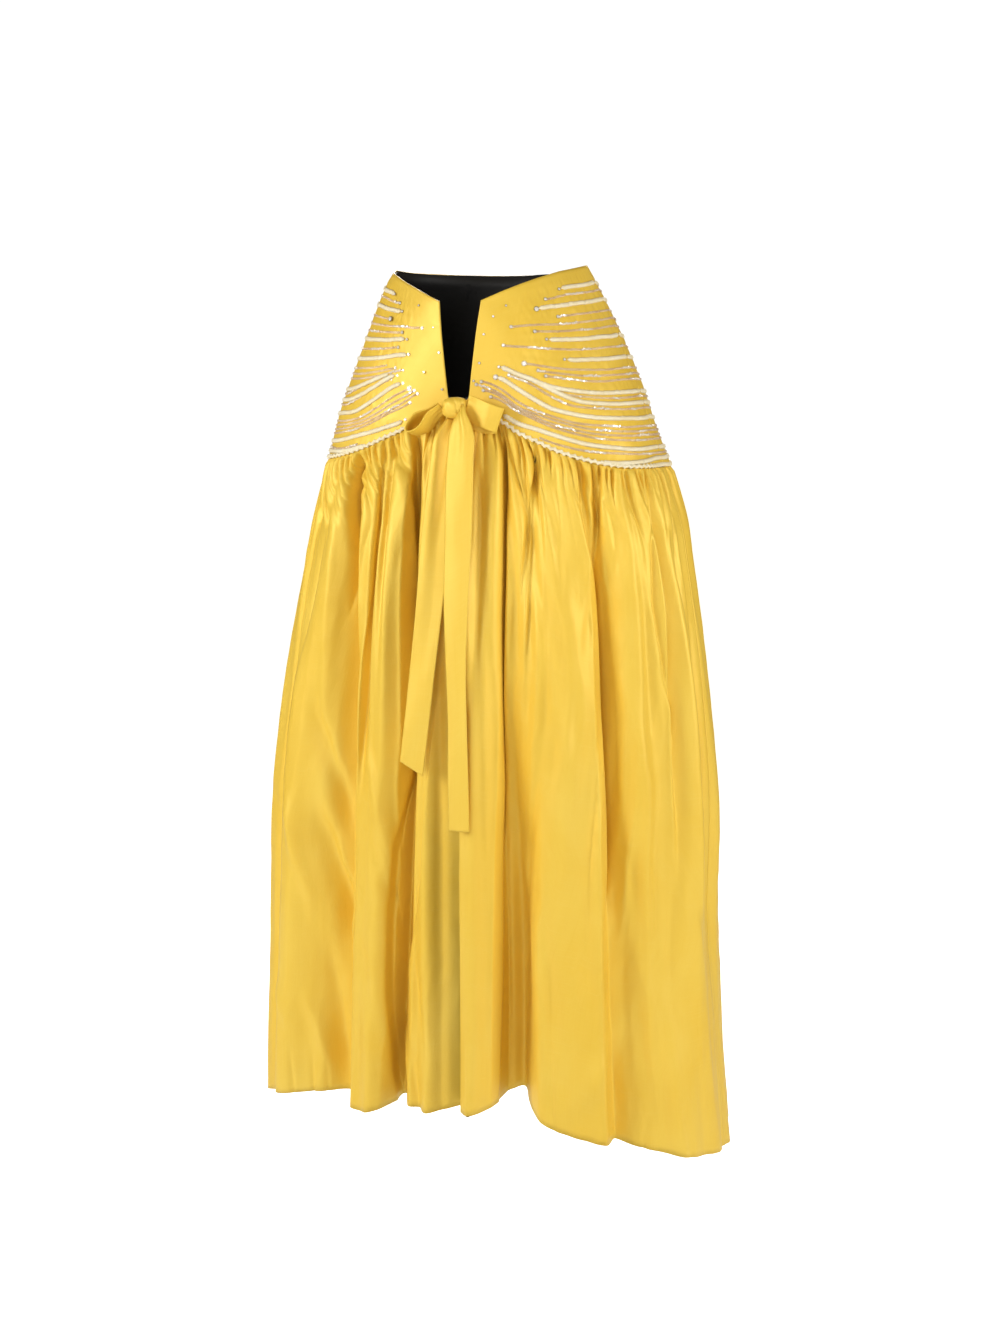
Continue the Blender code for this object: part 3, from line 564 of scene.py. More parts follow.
def twistedGroup():
    # threads laid round a cord or a chain: strands along UV, a change of tone from stitch to stitch towards
    # the second colour, and that colour painted into the grooves between strands; on the cord it is a deeper
    # tone with painted shade in the grooves, on the chain its patches, flecks and grooves are painted glints
    group, given, made = newGroup("laidThreads", {
        "Place": "Vector", "Body Place": "Vector", "Colour": "Color", "Patch And Painted Light Colour": "Color",
        "Strands": 900.0, "Roughness": 0.5,
    })
    wave = {"Vector": given["Place"], "Scale": given["Strands"], "Distortion": 1.2, "Detail": 2.0}
    strand = addNode(group, "ShaderNodeTexWave", {"bands_direction": "DIAGONAL"}, wave).outputs["Fac"]
    patch = noise(group, given["Body Place"], 55.0, 2.0, 0.6)
    fleck = noise(group, given["Body Place"], 420.0, 2.0, 0.6)
    patches = stretched(group, patch, 0.35, 0.65, 0.0, 0.6)
    blend = maths(group, "ADD", patches, stretched(group, fleck, 0.4, 0.7, 0.0, 0.4))
    tone = mixed(group, blend, given["Colour"], given["Patch And Painted Light Colour"])
    # painted light in the grooves between strands: painted shade on the cord, painted glints on the chain
    paintedGrooveLight = stretched(group, strand, 0.0, 0.5, 0.35, 0.0)
    fill(group, made, {
        "Colour": mixed(group, paintedGrooveLight, tone, given["Patch And Painted Light Colour"]),
        "Roughness": maths(group, "ADD", given["Roughness"], stretched(group, fleck, 0.3, 0.7, -0.08, 0.08)),
        "Height": strand,
    })
    return group


woven = wovenGroup()
laid = twistedGroup()


def startMaterial(name):
    material = bpy.data.materials.new(name)
    material.use_nodes = True
    return material, material.node_tree, material.node_tree.nodes["Principled BSDF"]


def newMaterial(name, group, colourNames, values, bump, shine):
    material, tree, shader = startMaterial(name)
    place = addNode(tree, "ShaderNodeTexCoord", {}, {}).outputs
    given = {label: colour(value) for label, value in colourNames.items()}
    given.update(values, Place=place["UV"])
    effect = addNode(tree, "ShaderNodeGroup", {"node_tree": group}, given)
    if "Body Place" in effect.inputs:
        fill(tree, effect, {"Body Place": place["Object"]})
    made = effect.outputs
    raised = {"Strength": bump[0], "Distance": bump[1], "Height": made["Height"]}
    relief = addNode(tree, "ShaderNodeBump", {}, raised).outputs["Normal"]
    fill(tree, shader, {"Base Color": made["Colour"], "Roughness": made["Roughness"], "Normal": relief})
    fill(tree, shader, shine)
    return material


def silkMaterial(name, crumple, slubs):
    return newMaterial(
        name, woven, {"Colour": "silk", "Deep Colour": "silkDeep", "Pale Colour": "silkPale"},
        {"Crumple": crumple, "Slubs": slubs, "Roughness": 0.44}, (0.55, 0.0005),
        {"Metallic": 0.12, "Specular IOR Level": 0.30},
    )


skirtSilk = silkMaterial("skirtSilk", 0.9, 0.7)
yokeSilk = silkMaterial("yokeSilk", 0.35, 0.5)
tieSilk = silkMaterial("tieSilk", 0.35, 0.6)
liningSilk = newMaterial(
    "liningSilk", woven, {"Colour": "lining", "Deep Colour": "lining", "Pale Colour": "liningPale"},
    {"Crumple": 0.5, "Slubs": 0.3, "Roughness": 0.5}, (0.4, 0.0004), {"Specular IOR Level": 0.3},
)
# the cord's deeper colour is also painted shade in the grooves between strands
creamCord = newMaterial(
    "creamCord", laid, {"Colour": "cream", "Patch And Painted Light Colour": "creamDeepAndPaintedShade"},
    {"Strands": 700.0, "Roughness": 0.55}, (0.5, 0.0003), {"Sheen Weight": 0.2},
)
# the chain's pale patches, flecks and grooves are painted glints
chainThread = newMaterial(
    "chainThread", laid, {"Colour": "chain", "Patch And Painted Light Colour": "chainPaintedGlint"},
    {"Strands": 1500.0, "Roughness": 0.32}, (0.3, 0.0002), {"Metallic": 0.35, "Specular IOR Level": 0.8},
)


def plainFinish(name, base, other, rough, shine):
    material, tree, shader = startMaterial(name)
    place = addNode(tree, "ShaderNodeTexCoord", {}, {}).outputs["Object"]
    change = noise(tree, place, 260.0, 2.0, 0.5)
    fill(tree, shader, {
        "Base Color": mixed(tree, change, colour(base), colour(other)),
        "Roughness": stretched(tree, change, 0.3, 0.7, rough * 0.7, rough * 1.3),
    })
    fill(tree, shader, shine)
    return material


stoneFinish = plainFinish("cutStone", "stone", "stonePale", 0.12, {"Metallic": 0.25, "Coat Weight": 0.5})
settingFinish = plainFinish("stoneSetting", "setting", "settingPale", 0.3, {"Metallic": 1.0})
print("materials made")

# cloth pieces


def shown(name, data):
    thing = bpy.data.objects.new(name, data)
    bpy.context.scene.collection.objects.link(thing)
    return thing


def builtMesh(name, build):
    mesh = bpy.data.meshes.new(name)
    build.to_mesh(mesh)
    build.free()
    return mesh


def finishPiece(name, mesh, materials, node=None):
    mesh.name = name
    for material in materials:
        mesh.materials.append(material)
    mesh.shade_smooth()
    piece = shown(name, mesh)
    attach(piece, "root")
    if node:
        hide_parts(node)
    return piece


def gridMesh(points, across, down):
    # a grid whose vertices are laid on the points, with a UV map of its cloth in metres
    rows, columns = points.shape[0] - 1, points.shape[1] - 1
    build = bmesh.new()
    bmesh.ops.create_grid(build, x_segments=columns, y_segments=rows, size=0.5)
    mesh = builtMesh("cloth", build)
    places = np.empty(len(mesh.vertices) * 3, np.float32)
    mesh.vertices.foreach_get("co", places)
    places = places.reshape(-1, 3)
    column = np.rint((places[:, 0] + 0.5) * columns).astype(int)
    row = np.rint((0.5 - places[:, 1]) * rows).astype(int)
    mesh.vertices.foreach_set("co", points[row, column].astype(np.float32).ravel())
    corners = np.empty(len(mesh.loops), np.int32)
    mesh.loops.foreach_get("vertex_index", corners)
    flat = np.stack([across[row, column], down[row, column]], -1)[corners]
    mesh.uv_layers.new(name="cloth").data.foreach_set("uv", flat.astype(np.float32).ravel())
    mesh.update()
    return mesh


def clothPiece(name, points, wall, materials, node):
    # the points are the outer side; the wall goes inwards, and a second material is for its inner side
    mesh = gridMesh(points, lengthsAlong(points, 1), lengthsAlong(points, 0))
    piece = finishPiece(name, mesh, materials, node)
    solidify = piece.modifiers.new("wall", "SOLIDIFY")
    solidify.thickness = wall
    solidify.offset = -1
    solidify.material_offset = len(materials) - 1
    return piece


# yoke

pucker = ripples(7, 22, (5, 18), (3, 12), 1.2)
drape = ripples(8, 9, (0.6, 2.6), (0.8, 2.4), 0.6)

# kind, share down the yoke, angle where it starts on the left front and on the right front
stitchRows = (
    ("cord", 0.085, 63, 57), ("chain", 0.122, 54, 49), ("cord", 0.168, 48, 44), ("chain", 0.222, 58, 52),
    ("chain", 0.262, 33, 26), ("chain", 0.300, 45, 40), ("cord", 0.345, 50, 36), ("chain", 0.398, 28, 41),
    ("cord", 0.452, 56, 33), ("chain", 0.505, 38, 46), ("chain", 0.535, 44, 40), ("chain", 0.562, 47, 35),
    ("cord", 0.622, 25, 42), ("chain", 0.648, 28, 45), ("cord", 0.678, 34, 38), ("chain", 0.705, 30, 41),
    ("cord", 0.752, 23, 34), ("chain", 0.795, 15, 30), ("chain", 0.817, 12, 27), ("chain", 0.839, 16, 25),
    ("chain", 0.861, 20, 29), ("cord", 0.903, 25, 31), ("chain", 0.930, 41, 52), ("cord", 0.955, 60, 48),
)

# the stitching draws the yoke's cloth in from an angle on; heights in metres
yokeCloth = {
    "flatFront": 24,
    "drawnOver": 26,
    "drape": 0.0016,
    "pucker": 0.00060,
    "rowWidth": 0.011,
    "drawnIn": {"cord": 0.0007, "chain": 0.0004},
}


def yokeRelief(angle, share):
    # the rows of stitching draw the cloth in a little, and it puckers between them
    side = smoothStep((np.abs(turned(angle)) - yokeCloth["flatFront"]) / yokeCloth["drawnOver"])
    height = yokeCloth["drape"] * drape(angle / 60, share) * (0.45 + 0.55 * side)
    height = height + yokeCloth["pucker"] * pucker(angle / 40, share) * side * smoothStep(share / 0.1)
    for kind, level, _, _ in stitchRows:
        near = (share - level) / yokeCloth["rowWidth"]
        height = height - yokeCloth["drawnIn"][kind] * np.exp(-near * near) * side
    edge = smoothStep((1 - share) / 0.03) * smoothStep(share / 0.05)
    return height * edge


def yokePlace(angle, share):
    lift = yokeForm["wall"] / 2 + yokeRelief(angle, share)
    return yokeSurface(angle, share) + yokeOutward(angle, share) * lift[..., None]


yokeLining = {"wall": 0.001, "gap": 0.0006, "down": (0.004, 0.985, 17), "around": (0.001, 0.999, 160)}


def makeYoke():
    shares = np.linspace(0, 1, yokeForm["rows"] + 1)
    levels = np.array([row[0] for row in yokeForm["notch"]])[1:-1]
    shares[np.abs(shares[:, None] - levels).argmin(axis=0)] = levels
    notch = notchAngle(shares)
    side = np.full(len(shares), yokeForm["sideSeam"])
    front, back = yokeForm["frontColumns"], yokeForm["backColumns"]
    panels = (
        ("yoke_front_left", front, notch, side, "yokeFrontLeft", (0.37, 0.31), 0.075),
        ("yoke_back", back, 180 - side, 180 + side, "yokeBack", (0.78, 0.31), 0.175),
        ("yoke_front_right", front, 360 - side, 360 - notch, "yokeFrontRight", (0.37, 0.31), 0.072),
    )
    for node, columns, first, last, name, flat, area in panels:
        angles = first[:, None] + (last - first)[:, None] * np.linspace(0, 1, columns + 1)
        points = yokePlace(angles, np.repeat(shares[:, None], columns + 1, axis=1))
        piece = clothPiece(name, points, yokeForm["wall"], [yokeSilk, liningSilk], node)
    around = np.linspace(*yokeLining["around"])
    downs = np.repeat(np.linspace(*yokeLining["down"])[:, None], len(around), axis=1)
    inner = notchAngle(downs[:, :1])
    angles = inner + (360 - 2 * inner) * around
    inset = yokeForm["wall"] / 2 + yokeLining["gap"]
    points = yokeSurface(angles, downs) - yokeOutward(angles, downs) * inset
    piece = clothPiece("yokeLining", points, yokeLining["wall"], [liningSilk], "yoke_lining")


makeYoke()
print("yoke made")

# skirt; an edge is an angle, or a column of the open edges' table

skirtPanels = (
    {"node": "skirt_front_left", "name": "skirtFrontLeft", "part": "front", "edges": (1, 89.985),
     "edgeFolds": "leftEdgeFolds", "columns": 400, "rows": 112, "flat": (0.72, 1.08), "area": 0.77},
    {"node": "skirt_front_right", "name": "skirtFrontRight", "part": "front", "edges": (-89.985, 2),
     "edgeFolds": "rightEdgeFolds", "columns": 400, "rows": 112, "flat": (0.72, 1.08), "area": 0.77},
    {"node": "skirt_back", "name": "skirtBack", "part": "back", "edges": (90.015, 269.985),
     "edgeFolds": None, "columns": 440, "rows": 96, "flat": (1.44, 1.08), "area": 1.54},
)


def leaned(offset, lean):
    return np.where(offset < 0, offset * lean, offset / lean)


def gatherHeight(place, share, count, seed):
    chance = np.random.default_rng(seed)
    height = np.zeros_like(place)
    pitch = 1.0 / count
    for index in range(1, count):
        start = (index + chance.uniform(-1, 1) * gathers["jitter"]) * pitch
        size = chance.uniform(*gathers["sizes"])
        low, high = gathers["reach"]
        reach = low + (high - low) * chance.uniform(0, 1) ** 2
        drift = chance.normal() * gathers["wander"] * pitch
        lean = chance.uniform(*gathers["leans"])
        line = start + drift * smoothStep(share / gathers["wanderLength"])
        depth = gathers["depth"] * size * math.exp(-((share / reach) ** gathers["fading"]))
        width = gathers["width"] * pitch * (1 + gathers["spread"] * share)
        height -= depth * np.exp(-np.abs(leaned((place - line) / width, lean)))
    rise = gathers["atSeam"] + (1 - gathers["atSeam"]) * smoothStep(share / gathers["rise"])
    puff = gathers["puff"] * math.exp(-((share / gathers["puffLength"]) ** gathers["fading"]))
    return rise * (height + puff)


def softHeight(place, share, count, seed):
    f = softFolds
    chance = np.random.default_rng(seed + f["seedStep"])
    height = np.zeros_like(place)
    for index in range(count):
        start = (index + 0.5 + chance.uniform(-f["jitter"], f["jitter"])) / count
        drift, bow = chance.normal() * f["drift"] / count, chance.normal() * f["bow"] / count
        depth, width = chance.uniform(*f["depth"]), chance.uniform(*f["width"]) / count
        starts, ends = chance.uniform(*f["starts"]), chance.uniform(*f["ends"])
        lean = chance.uniform(*f["leans"])
        line = start + drift * share / ends + bow * math.sin(3.1 * share / ends)
        growth = smoothStep((share - starts) / f["growth"])
        growth *= 1 - smoothStep((share - ends * 0.5) / (ends * 0.6))
        offset = leaned((place - line) / width, lean)
        height -= depth * float(growth) / (1 + offset * offset) ** 1.5
    return height


creaseForm = {"fading": 0.12, "leanReach": 0.022}


def creaseShape(places, angles, run, share):
    # how far each crease moves the cloth outwards, and how far its ridge leans over its valley
    height, slide = np.zeros_like(places), np.zeros_like(places)
    for depth, widths, lean, (starts, full, gone), path in creases:
        line = np.array(path)
        centre = np.interp(share, line[:, 0], line[:, 1])
        if not angles[0] < centre < angles[-1]:
            continue
        growth = float(smoothStep((share - starts) / (full - starts)))
        growth *= float(1 - smoothStep((share - (gone - creaseForm["fading"])) / creaseForm["fading"]))
        offset = places - np.interp(centre, angles, run)
        before, after = widths[0] / 1000, widths[1] / 1000
        width = np.where(offset < 0, before, after)
        height -= depth / 1000 * growth * np.exp(-np.abs(offset) / width)
        sharp = 2 * min(before, after)
        back = offset * (1 if lean < 0 else -1)
        trail = np.exp(-np.clip(back - sharp, 0, None) / creaseForm["leanReach"])
        slide += lean / 1000 * growth * smoothStep(back / sharp) * trail
    return height, slide


def buckleHeight(places, angles, run, share):
    height = np.zeros_like(places)
    tall, margin = 1.03, 0.06
    for firstShare, firstAngle, lastShare, lastAngle, width, depth in buckles:
        within = firstShare - margin < share < lastShare + margin
        if not (angles[0] < firstAngle < angles[-1] and within):
            continue
        ends = np.interp((firstAngle, lastAngle), angles, run)
        onward = np.array((ends[1] - ends[0], (lastShare - firstShare) * tall))
        length = np.linalg.norm(onward)
        onward /= length
        across, down = places - ends[0], (share - firstShare) * tall
        gone = (across * onward[0] + down * onward[1]) / length
        aside = across * onward[1] - down * onward[0]
        taper = smoothStep((gone + 0.25) / 0.5) * smoothStep((1.25 - gone) / 0.5)
        height += depth / 1000 * taper * np.exp(-((aside / (width / 1000)) ** 2))
    return height


def panelShares(count):
    return np.linspace(0, 1, count) ** skirtCloth["rowPower"]


def panelEdge(edge, share):
    return float(along(skirtForm["openEdges"], edge, share)) if edge in (1, 2) else edge


def unevenness(seed):
    # soft waves, small waves and crumpled patches all over a panel
    waves = [ripples(seed + step, *rest) for step, *rest in skirtCloth["waves"]]
    slow, small, crumpled, patches = waves

    def height(place, share):
        size, full = skirtCloth["slow"]
        total = size * slow(place, share) * smoothStep(share / full)
        size, full = skirtCloth["small"]
        total += size * small(place, share) * smoothStep(share / full)
        size, full = skirtCloth["crumpled"]
        patch = smoothStep((patches(place, share) - 0.2) / 0.8) * smoothStep((share - 0.35) / 0.4)
        worn = skirtCloth["leastCrumpled"] + (1 - skirtCloth["leastCrumpled"]) * patch
        return total - size * np.abs(crumpled(place, share)) * worn * smoothStep(share / full)

    return height


def panelGrid(panel, creased=True):
    seed = gathers["seeds"][panel["node"]]
    uneven = unevenness(seed)
    folds = skirtForm["folds"] + skirtForm.get(panel["edgeFolds"], ())
    fine, columnsKept = skirtForm["fine"], skirtForm["columnsKept"]
    rows = []
    for share in panelShares(panel["rows"] + 1):
        first, last = (panelEdge(edge, share) for edge in panel["edges"])
        angles, level = np.linspace(first, last, fine), np.full(fine, share)
        base = skirtBase(angles, level)
        outward = planOutward(base)
        onward = np.stack([-outward[:, 1], outward[:, 0], outward[:, 2]], -1)
        large = foldHeight(folds, angles, level)
        run = clothRun(base + outward * large[:, None])
        place = run / run[-1]
        height, slide = np.zeros_like(run), np.zeros_like(run)
        if creased:
            height, slide = creaseShape(run, angles, run, share)
        height += gatherHeight(place, share, gathers[panel["part"]], seed)
        height += softHeight(place, share, softFolds[panel["part"]], seed)
        height += buckleHeight(run, angles, run, share)
        height += uneven(place, share)
        seam = np.abs((angles + 90) % 180)
        fade = smoothStep(np.minimum(seam, 180 - seam) / skirtCloth["seamFade"])
        offset = large + height * fade + skirtForm["wall"] / 2
        points = base + outward * offset[:, None] + onward * (slide * fade)[:, None]
        run = clothRun(points)
        evenRun = np.linspace(0, run[-1], fine)
        points = roundedOff(readRow(points, run, evenRun), run[-1])
        # the columns keep to their own ridge and valley from row to row
        kept = columnsKept * np.interp(evenRun, run, place) + (1 - columnsKept) * evenRun / run[-1]
        rows.append(readRow(points, kept, np.linspace(0, 1, panel["columns"] + 1)))
    return np.array(rows)


for panel in skirtPanels:
    points, finishes = panelGrid(panel), [skirtSilk, liningSilk]
    piece = clothPiece(panel["name"], points, skirtForm["wall"], finishes, panel["node"])
    print(panel["name"], "made")

liningEdge = {
    "wall": 0.001, "columns": 116, "starts": 0.40, "drop": 0.004, "behind": (0.0040, 0.0170), "deepens": 0.45,
}


def makeLiningEdge():
    # the lining's edge behind the left front, a little further in and longer
    points = panelGrid(skirtPanels[0], creased=False)
    seen = panelShares(len(points)) >= liningEdge["starts"]
    near, far = liningEdge["behind"]
    deepens = liningEdge["deepens"] * liningEdge["columns"]
    apart = near + (far - near) * smoothStep(np.arange(points.shape[1]) / deepens)
    behind = np.array([planOutward(row) for row in points]) * apart[:, None]
    fall = liningEdge["drop"] * np.linspace(0, 1, seen.sum())[:, None, None] * np.array((0, 0, 1.0))
    strip = ((points - behind)[seen][:, 1 : liningEdge["columns"]] - fall)[:, ::2]
    finish = [liningSilk]
    piece = clothPiece("frontLining", strip, liningEdge["wall"], finish, "front_lining")


makeLiningEdge()
print("lining made")

# bow

bow = {
    "wall": 0.0016,
    "knotCentre": (0.0015, -0.1693, -0.2085),
    "knotHalf": (0.0180, 0.0150, 0.0155),
    "knotSquare": (0.72, 0.80, 0.62),
    # line across the knot, depth and width of the pleat
    "knotPleats": (
        (-0.72, 0.16, 0.07), (0.30, 0.22, 0.06), (0.52, 0.12, 0.05), (0.80, 0.20, 0.07), (-0.15, 0.07, 0.09),
    ),
    # line across a tail at the knot, depth and width of the pleat
    "tailPleats": ((-0.42, 0.0022, 0.12), (0.12, 0.0030, 0.10), (0.58, 0.0022, 0.12)),
    # line across a loop at the knot, size of the pleat
    "loopPleats": ((-0.5, 0.7), (0.05, 1.0), (0.55, 0.8)),
}

# rows: height, left edge, right edge, depth
tails = (
    {"name": "tieTailLeft", "node": "tie_tail_left", "flat": (0.041, 0.60), "crown": 0.0040, "slant": 0.0,
     "raised": 0.0100, "turnBack": 0.0, "seed": 51,
     "rows": (
         (-0.212, 0.0065, 0.019, -0.18), (-0.218, 0.006, 0.0235, -0.1862), (-0.224, 0.005, 0.0275, -0.1888),
         (-0.231, 0.0034, 0.0325, -0.19), (-0.244, 0.0015, 0.0385, -0.192), (-0.28, -0.0008, 0.0405, -0.196),
         (-0.33, -0.002, 0.0413, -0.201), (-0.39, -0.0005, 0.0412, -0.207), (-0.49, 0.002, 0.0395, -0.218),
         (-0.58, 0.008, 0.039, -0.226), (-0.67, 0.0135, 0.043, -0.232), (-0.75, 0.0155, 0.0465, -0.237),
         (-0.8185, 0.0178, 0.0491, -0.24),
     )},
    {"name": "tieTailRight", "node": "tie_tail_right", "flat": (0.038, 0.52), "crown": 0.0020, "slant": 0.010,
     "raised": 0.0, "turnBack": 0.017, "seed": 52,
     "rows": (
         (-0.2243, -0.0125, 0.0035, -0.1695), (-0.245, -0.0245, 0.003, -0.179),
         (-0.28, -0.03, 0.004, -0.185), (-0.33, -0.035, 0.003, -0.19), (-0.39, -0.041, -0.001, -0.196),
         (-0.5, -0.0457, -0.0055, -0.208), (-0.62, -0.0545, -0.0155, -0.22),
         (-0.733, -0.0629, -0.028, -0.229),
     )},
)

# across: direction of the strap's width at root and tip, with its half width there
loops = (
    {"name": "bowLoopLeft", "node": "bow_loop_left", "root": (0.0200, -0.1700, -0.2085),
     "tip": (0.0725, -0.1715, -0.2265), "across": ((0.20, 0.0, 0.98), (0.34, 0.0, 0.94)),
     "halves": (0.0192, 0.0185), "fullness": 0.0052, "slip": 0.008, "pleated": 0.35, "creased": 0.0006},
    {"name": "bowLoopRight", "node": "bow_loop_right", "root": (-0.0165, -0.1750, -0.2080),
     "tip": (-0.0630, -0.1830, -0.2430), "across": ((0.12, -0.62, 0.77), (0.22, -0.93, 0.30)),
     "halves": (0.0105, 0.0180), "fullness": 0.0085, "slip": 0.0, "pleated": 1.0, "creased": 0.0010},
)


def makeKnot():
    # a band wrapped over the straps, pleated towards the wearer's left where the front tail comes out
    build = bmesh.new()
    bmesh.ops.create_uvsphere(build, u_segments=72, v_segments=44, radius=1)
    centre, half = np.array(bow["knotCentre"]), np.array(bow["knotHalf"])
    for vert in build.verts:
        flat = vert.co.copy()
        powers = bow["knotSquare"]
        squared = np.array([math.copysign(abs(value) ** power, value) for value, power in zip(flat, powers)])
        lean = flat.x + 0.35 * flat.z
        front = float(smoothStep(0.5 - flat.y))
        pleat = sum(-size * math.exp(-abs(lean - line) / width) for line, size, width in bow["knotPleats"])
        waist = 1 - 0.10 * math.cos(2.6 * flat.x) * (1 - flat.z * flat.z)
        squared = squared * np.array((1, 1 + pleat * front, waist + 0.06 * flat.x))
        vert.co = Vector(centre + half * squared)
    mesh = builtMesh("knot", build)
    places = np.array([vert.co for vert in mesh.vertices])
    corners = np.array([loop.vertex_index for loop in mesh.loops])
    flat = places[corners][:, [0, 2]] + places[corners][:, 1:2] * 0.7
    mesh.uv_layers.new(name="cloth").data.foreach_set("uv", flat.astype(np.float32).ravel())
    piece = finishPiece("bowKnot", mesh, [tieSilk], "bow_knot")


def makeTail(tail):
    rows = np.array(tail["rows"], float)
    across, levels = np.linspace(-1, 1, 21), np.linspace(0, 1, 141)[:, None]
    drop = (rows[0, 0] - rows[-1, 0]) * levels
    table = np.column_stack([rows[0, 0] - rows[:, 0], rows[:, 1:]])
    left, right, depth = (along(table, column, drop) for column in (1, 2, 3))
    wave = ripples(tail["seed"], 7, (0.3, 0.9), (0.8, 3.2), 0.7)
    x = (left + right) / 2 + (right - left) / 2 * across
    y = depth + tail["crown"] * (across**2 - 0.5) * (0.35 + 0.65 * np.exp(-levels / 0.35))
    y = y + 0.0012 * wave(across * 0.5, levels) * smoothStep(levels / 0.1)
    y = y + tail["turnBack"] * smoothStep((across + 0.62) / 0.9) * np.exp(-((levels / 0.42) ** 2))
    for line, size, width in bow["tailPleats"]:
        spread = np.abs(across - line * np.exp(-levels / 0.3)) / width
        y = y + size * np.exp(-levels / 0.055) * np.exp(-spread)
    y = y - bow["wall"] / 2
    z = rows[0, 0] - drop - tail["slant"] * across * levels**6
    z = z + tail["raised"] * across * np.exp(-levels / 0.03)
    points = np.stack([x, y, z], -1)
    piece = clothPiece(tail["name"], points, bow["wall"], [tieSilk], tail["node"])


def makeLoop(loop):
    # a strap that runs out from the knot and back behind itself
    root, tip = np.array(loop["root"]), np.array(loop["tip"])
    widthRoot, widthTip = np.array(loop["across"])
    halfRoot, halfTip = loop["halves"]
    length = np.linalg.norm(tip - root)
    onward = (tip - root) / length
    turn = np.linspace(0, 2 * math.pi, 97)
    out = length * ((1 - np.cos(turn)) / 2) ** 0.85
    gone = out / length
    width = widthRoot + (widthTip - widthRoot) * smoothStep(gone)[:, None]
    width = unit(width - onward * (width @ onward)[:, None])
    apart = np.cross(onward, width)
    if abs(widthTip[1]) < 0.5:
        apart = np.where(apart[:, 1:2] > 0, -apart, apart)
    elif apart[0, 1] > 0:
        apart = -apart
    off = 0.0014 * np.cos(turn / 2) + loop["fullness"] * np.sin(turn) * smoothStep((gone - 0.18) / 0.5)
    slipped = loop["slip"] * smoothStep((turn - math.pi) / 1.5)
    half = halfRoot + (halfTip - halfRoot) * smoothStep(gone * 1.6)
    across = np.linspace(-1, 1, 25)
    path = root + out[:, None] * onward + off[:, None] * apart - slipped[:, None] * width
    points = path[:, None, :] + (half[:, None] * across)[..., None] * width[:, None, :]
    near = np.exp(-gone / 0.28)[:, None]
    pleats = sum(size * np.exp(-np.abs(across - line) / 0.12) for line, size in bow["loopPleats"])
    crease = loop["creased"] * np.sin(across * 2.2 + gone[:, None] * 2.0) * (1 - near)
    bend = crease - 0.0026 * loop["pleated"] * near * pleats
    points = points + bend[..., None] * apart[:, None, :]
    piece = clothPiece(loop["name"], points, bow["wall"], [tieSilk], loop["node"])


makeKnot()
for tail in tails:
    makeTail(tail)
for loop in loops:
    makeLoop(loop)
print("bow made")

# stitched rows on the yoke

stitches = {
    "cordHalfWidth": 0.0034,
    "cordHeight": 0.0020,
    "cordPitch": 0.0046,
    "linkLength": 0.0052,
    "linkWidth": 0.0044,
    "linkStep": 0.0041,
    "linkWire": 0.00085,
    "linkLift": 0.0006,
    "linkTilts": (-0.05, 0.16),
    "waviness": 0.0016,
}


def rowShare(level, start, angle):
    # a row climbs or dips where it starts on a front, then runs level round the yoke
    away = np.abs(turned(angle)) - start
    lift = 0.03 if 0.88 < level < 0.97 else 0.0
    lift -= 0.10 * math.sin(math.pi * min(max((level - 0.56) / 0.34, 0), 1))
    return level + lift * (1 - smoothStep(away / 26)) * smoothStep((110 - np.abs(turned(angle))) / 20)


def rowPath(level, start, first, last, step, seed):
    # evenly spaced places along a row, with the directions along it, out of the cloth and across it
    angles = np.linspace(first, last, 900)
    wander = ripples(seed, 5, (1.0, 4.0), (0.0, 0.1), 0.0)
    shares = rowShare(level, start, angles) + stitches["waviness"] * wander(angles / 60, 0.0)
    points = yokePlace(angles, shares)
    run = lengthsAlong(points)
    places = np.arange(0, run[-1], step)
    points = readRow(points, run, places)
    outward = readRow(yokeOutward(angles, shares), run, places)
    onward = unit(np.gradient(points, axis=0))
    outward = unit(outward - onward * (outward * onward).sum(-1, keepdims=True))
    return points, onward, outward, np.cross(outward, onward), places


def addMesh(build, mesh):
    build.from_mesh(mesh)
    bpy.data.meshes.remove(mesh)


def cordMesh(build, path, halfWidth, height, pitch, sides):
    # a flattened cord whose two strands twist round each other, with rounded ends
    points, _, outward, across, places = path
    places = places[:, None]
    turn = np.linspace(0, 2 * math.pi, sides + 1)
    ends = np.sqrt(np.clip(np.minimum(places, places[-1] - places) / (1.5 * halfWidth), 0, 1))
    twist = ends * (1 + 0.22 * np.cos(2 * turn - 2 * math.pi * places / pitch))
    wide = halfWidth * twist * np.cos(turn)
    high = height * twist * np.sin(turn) + 0.55 * height
    ringPoints = points[:, None] + across[:, None] * wide[..., None] + outward[:, None] * high[..., None]
    around = np.broadcast_to(turn / 6.283 * 4 * halfWidth, wide.shape)
    addMesh(build, gridMesh(ringPoints, np.broadcast_to(places, wide.shape), around))


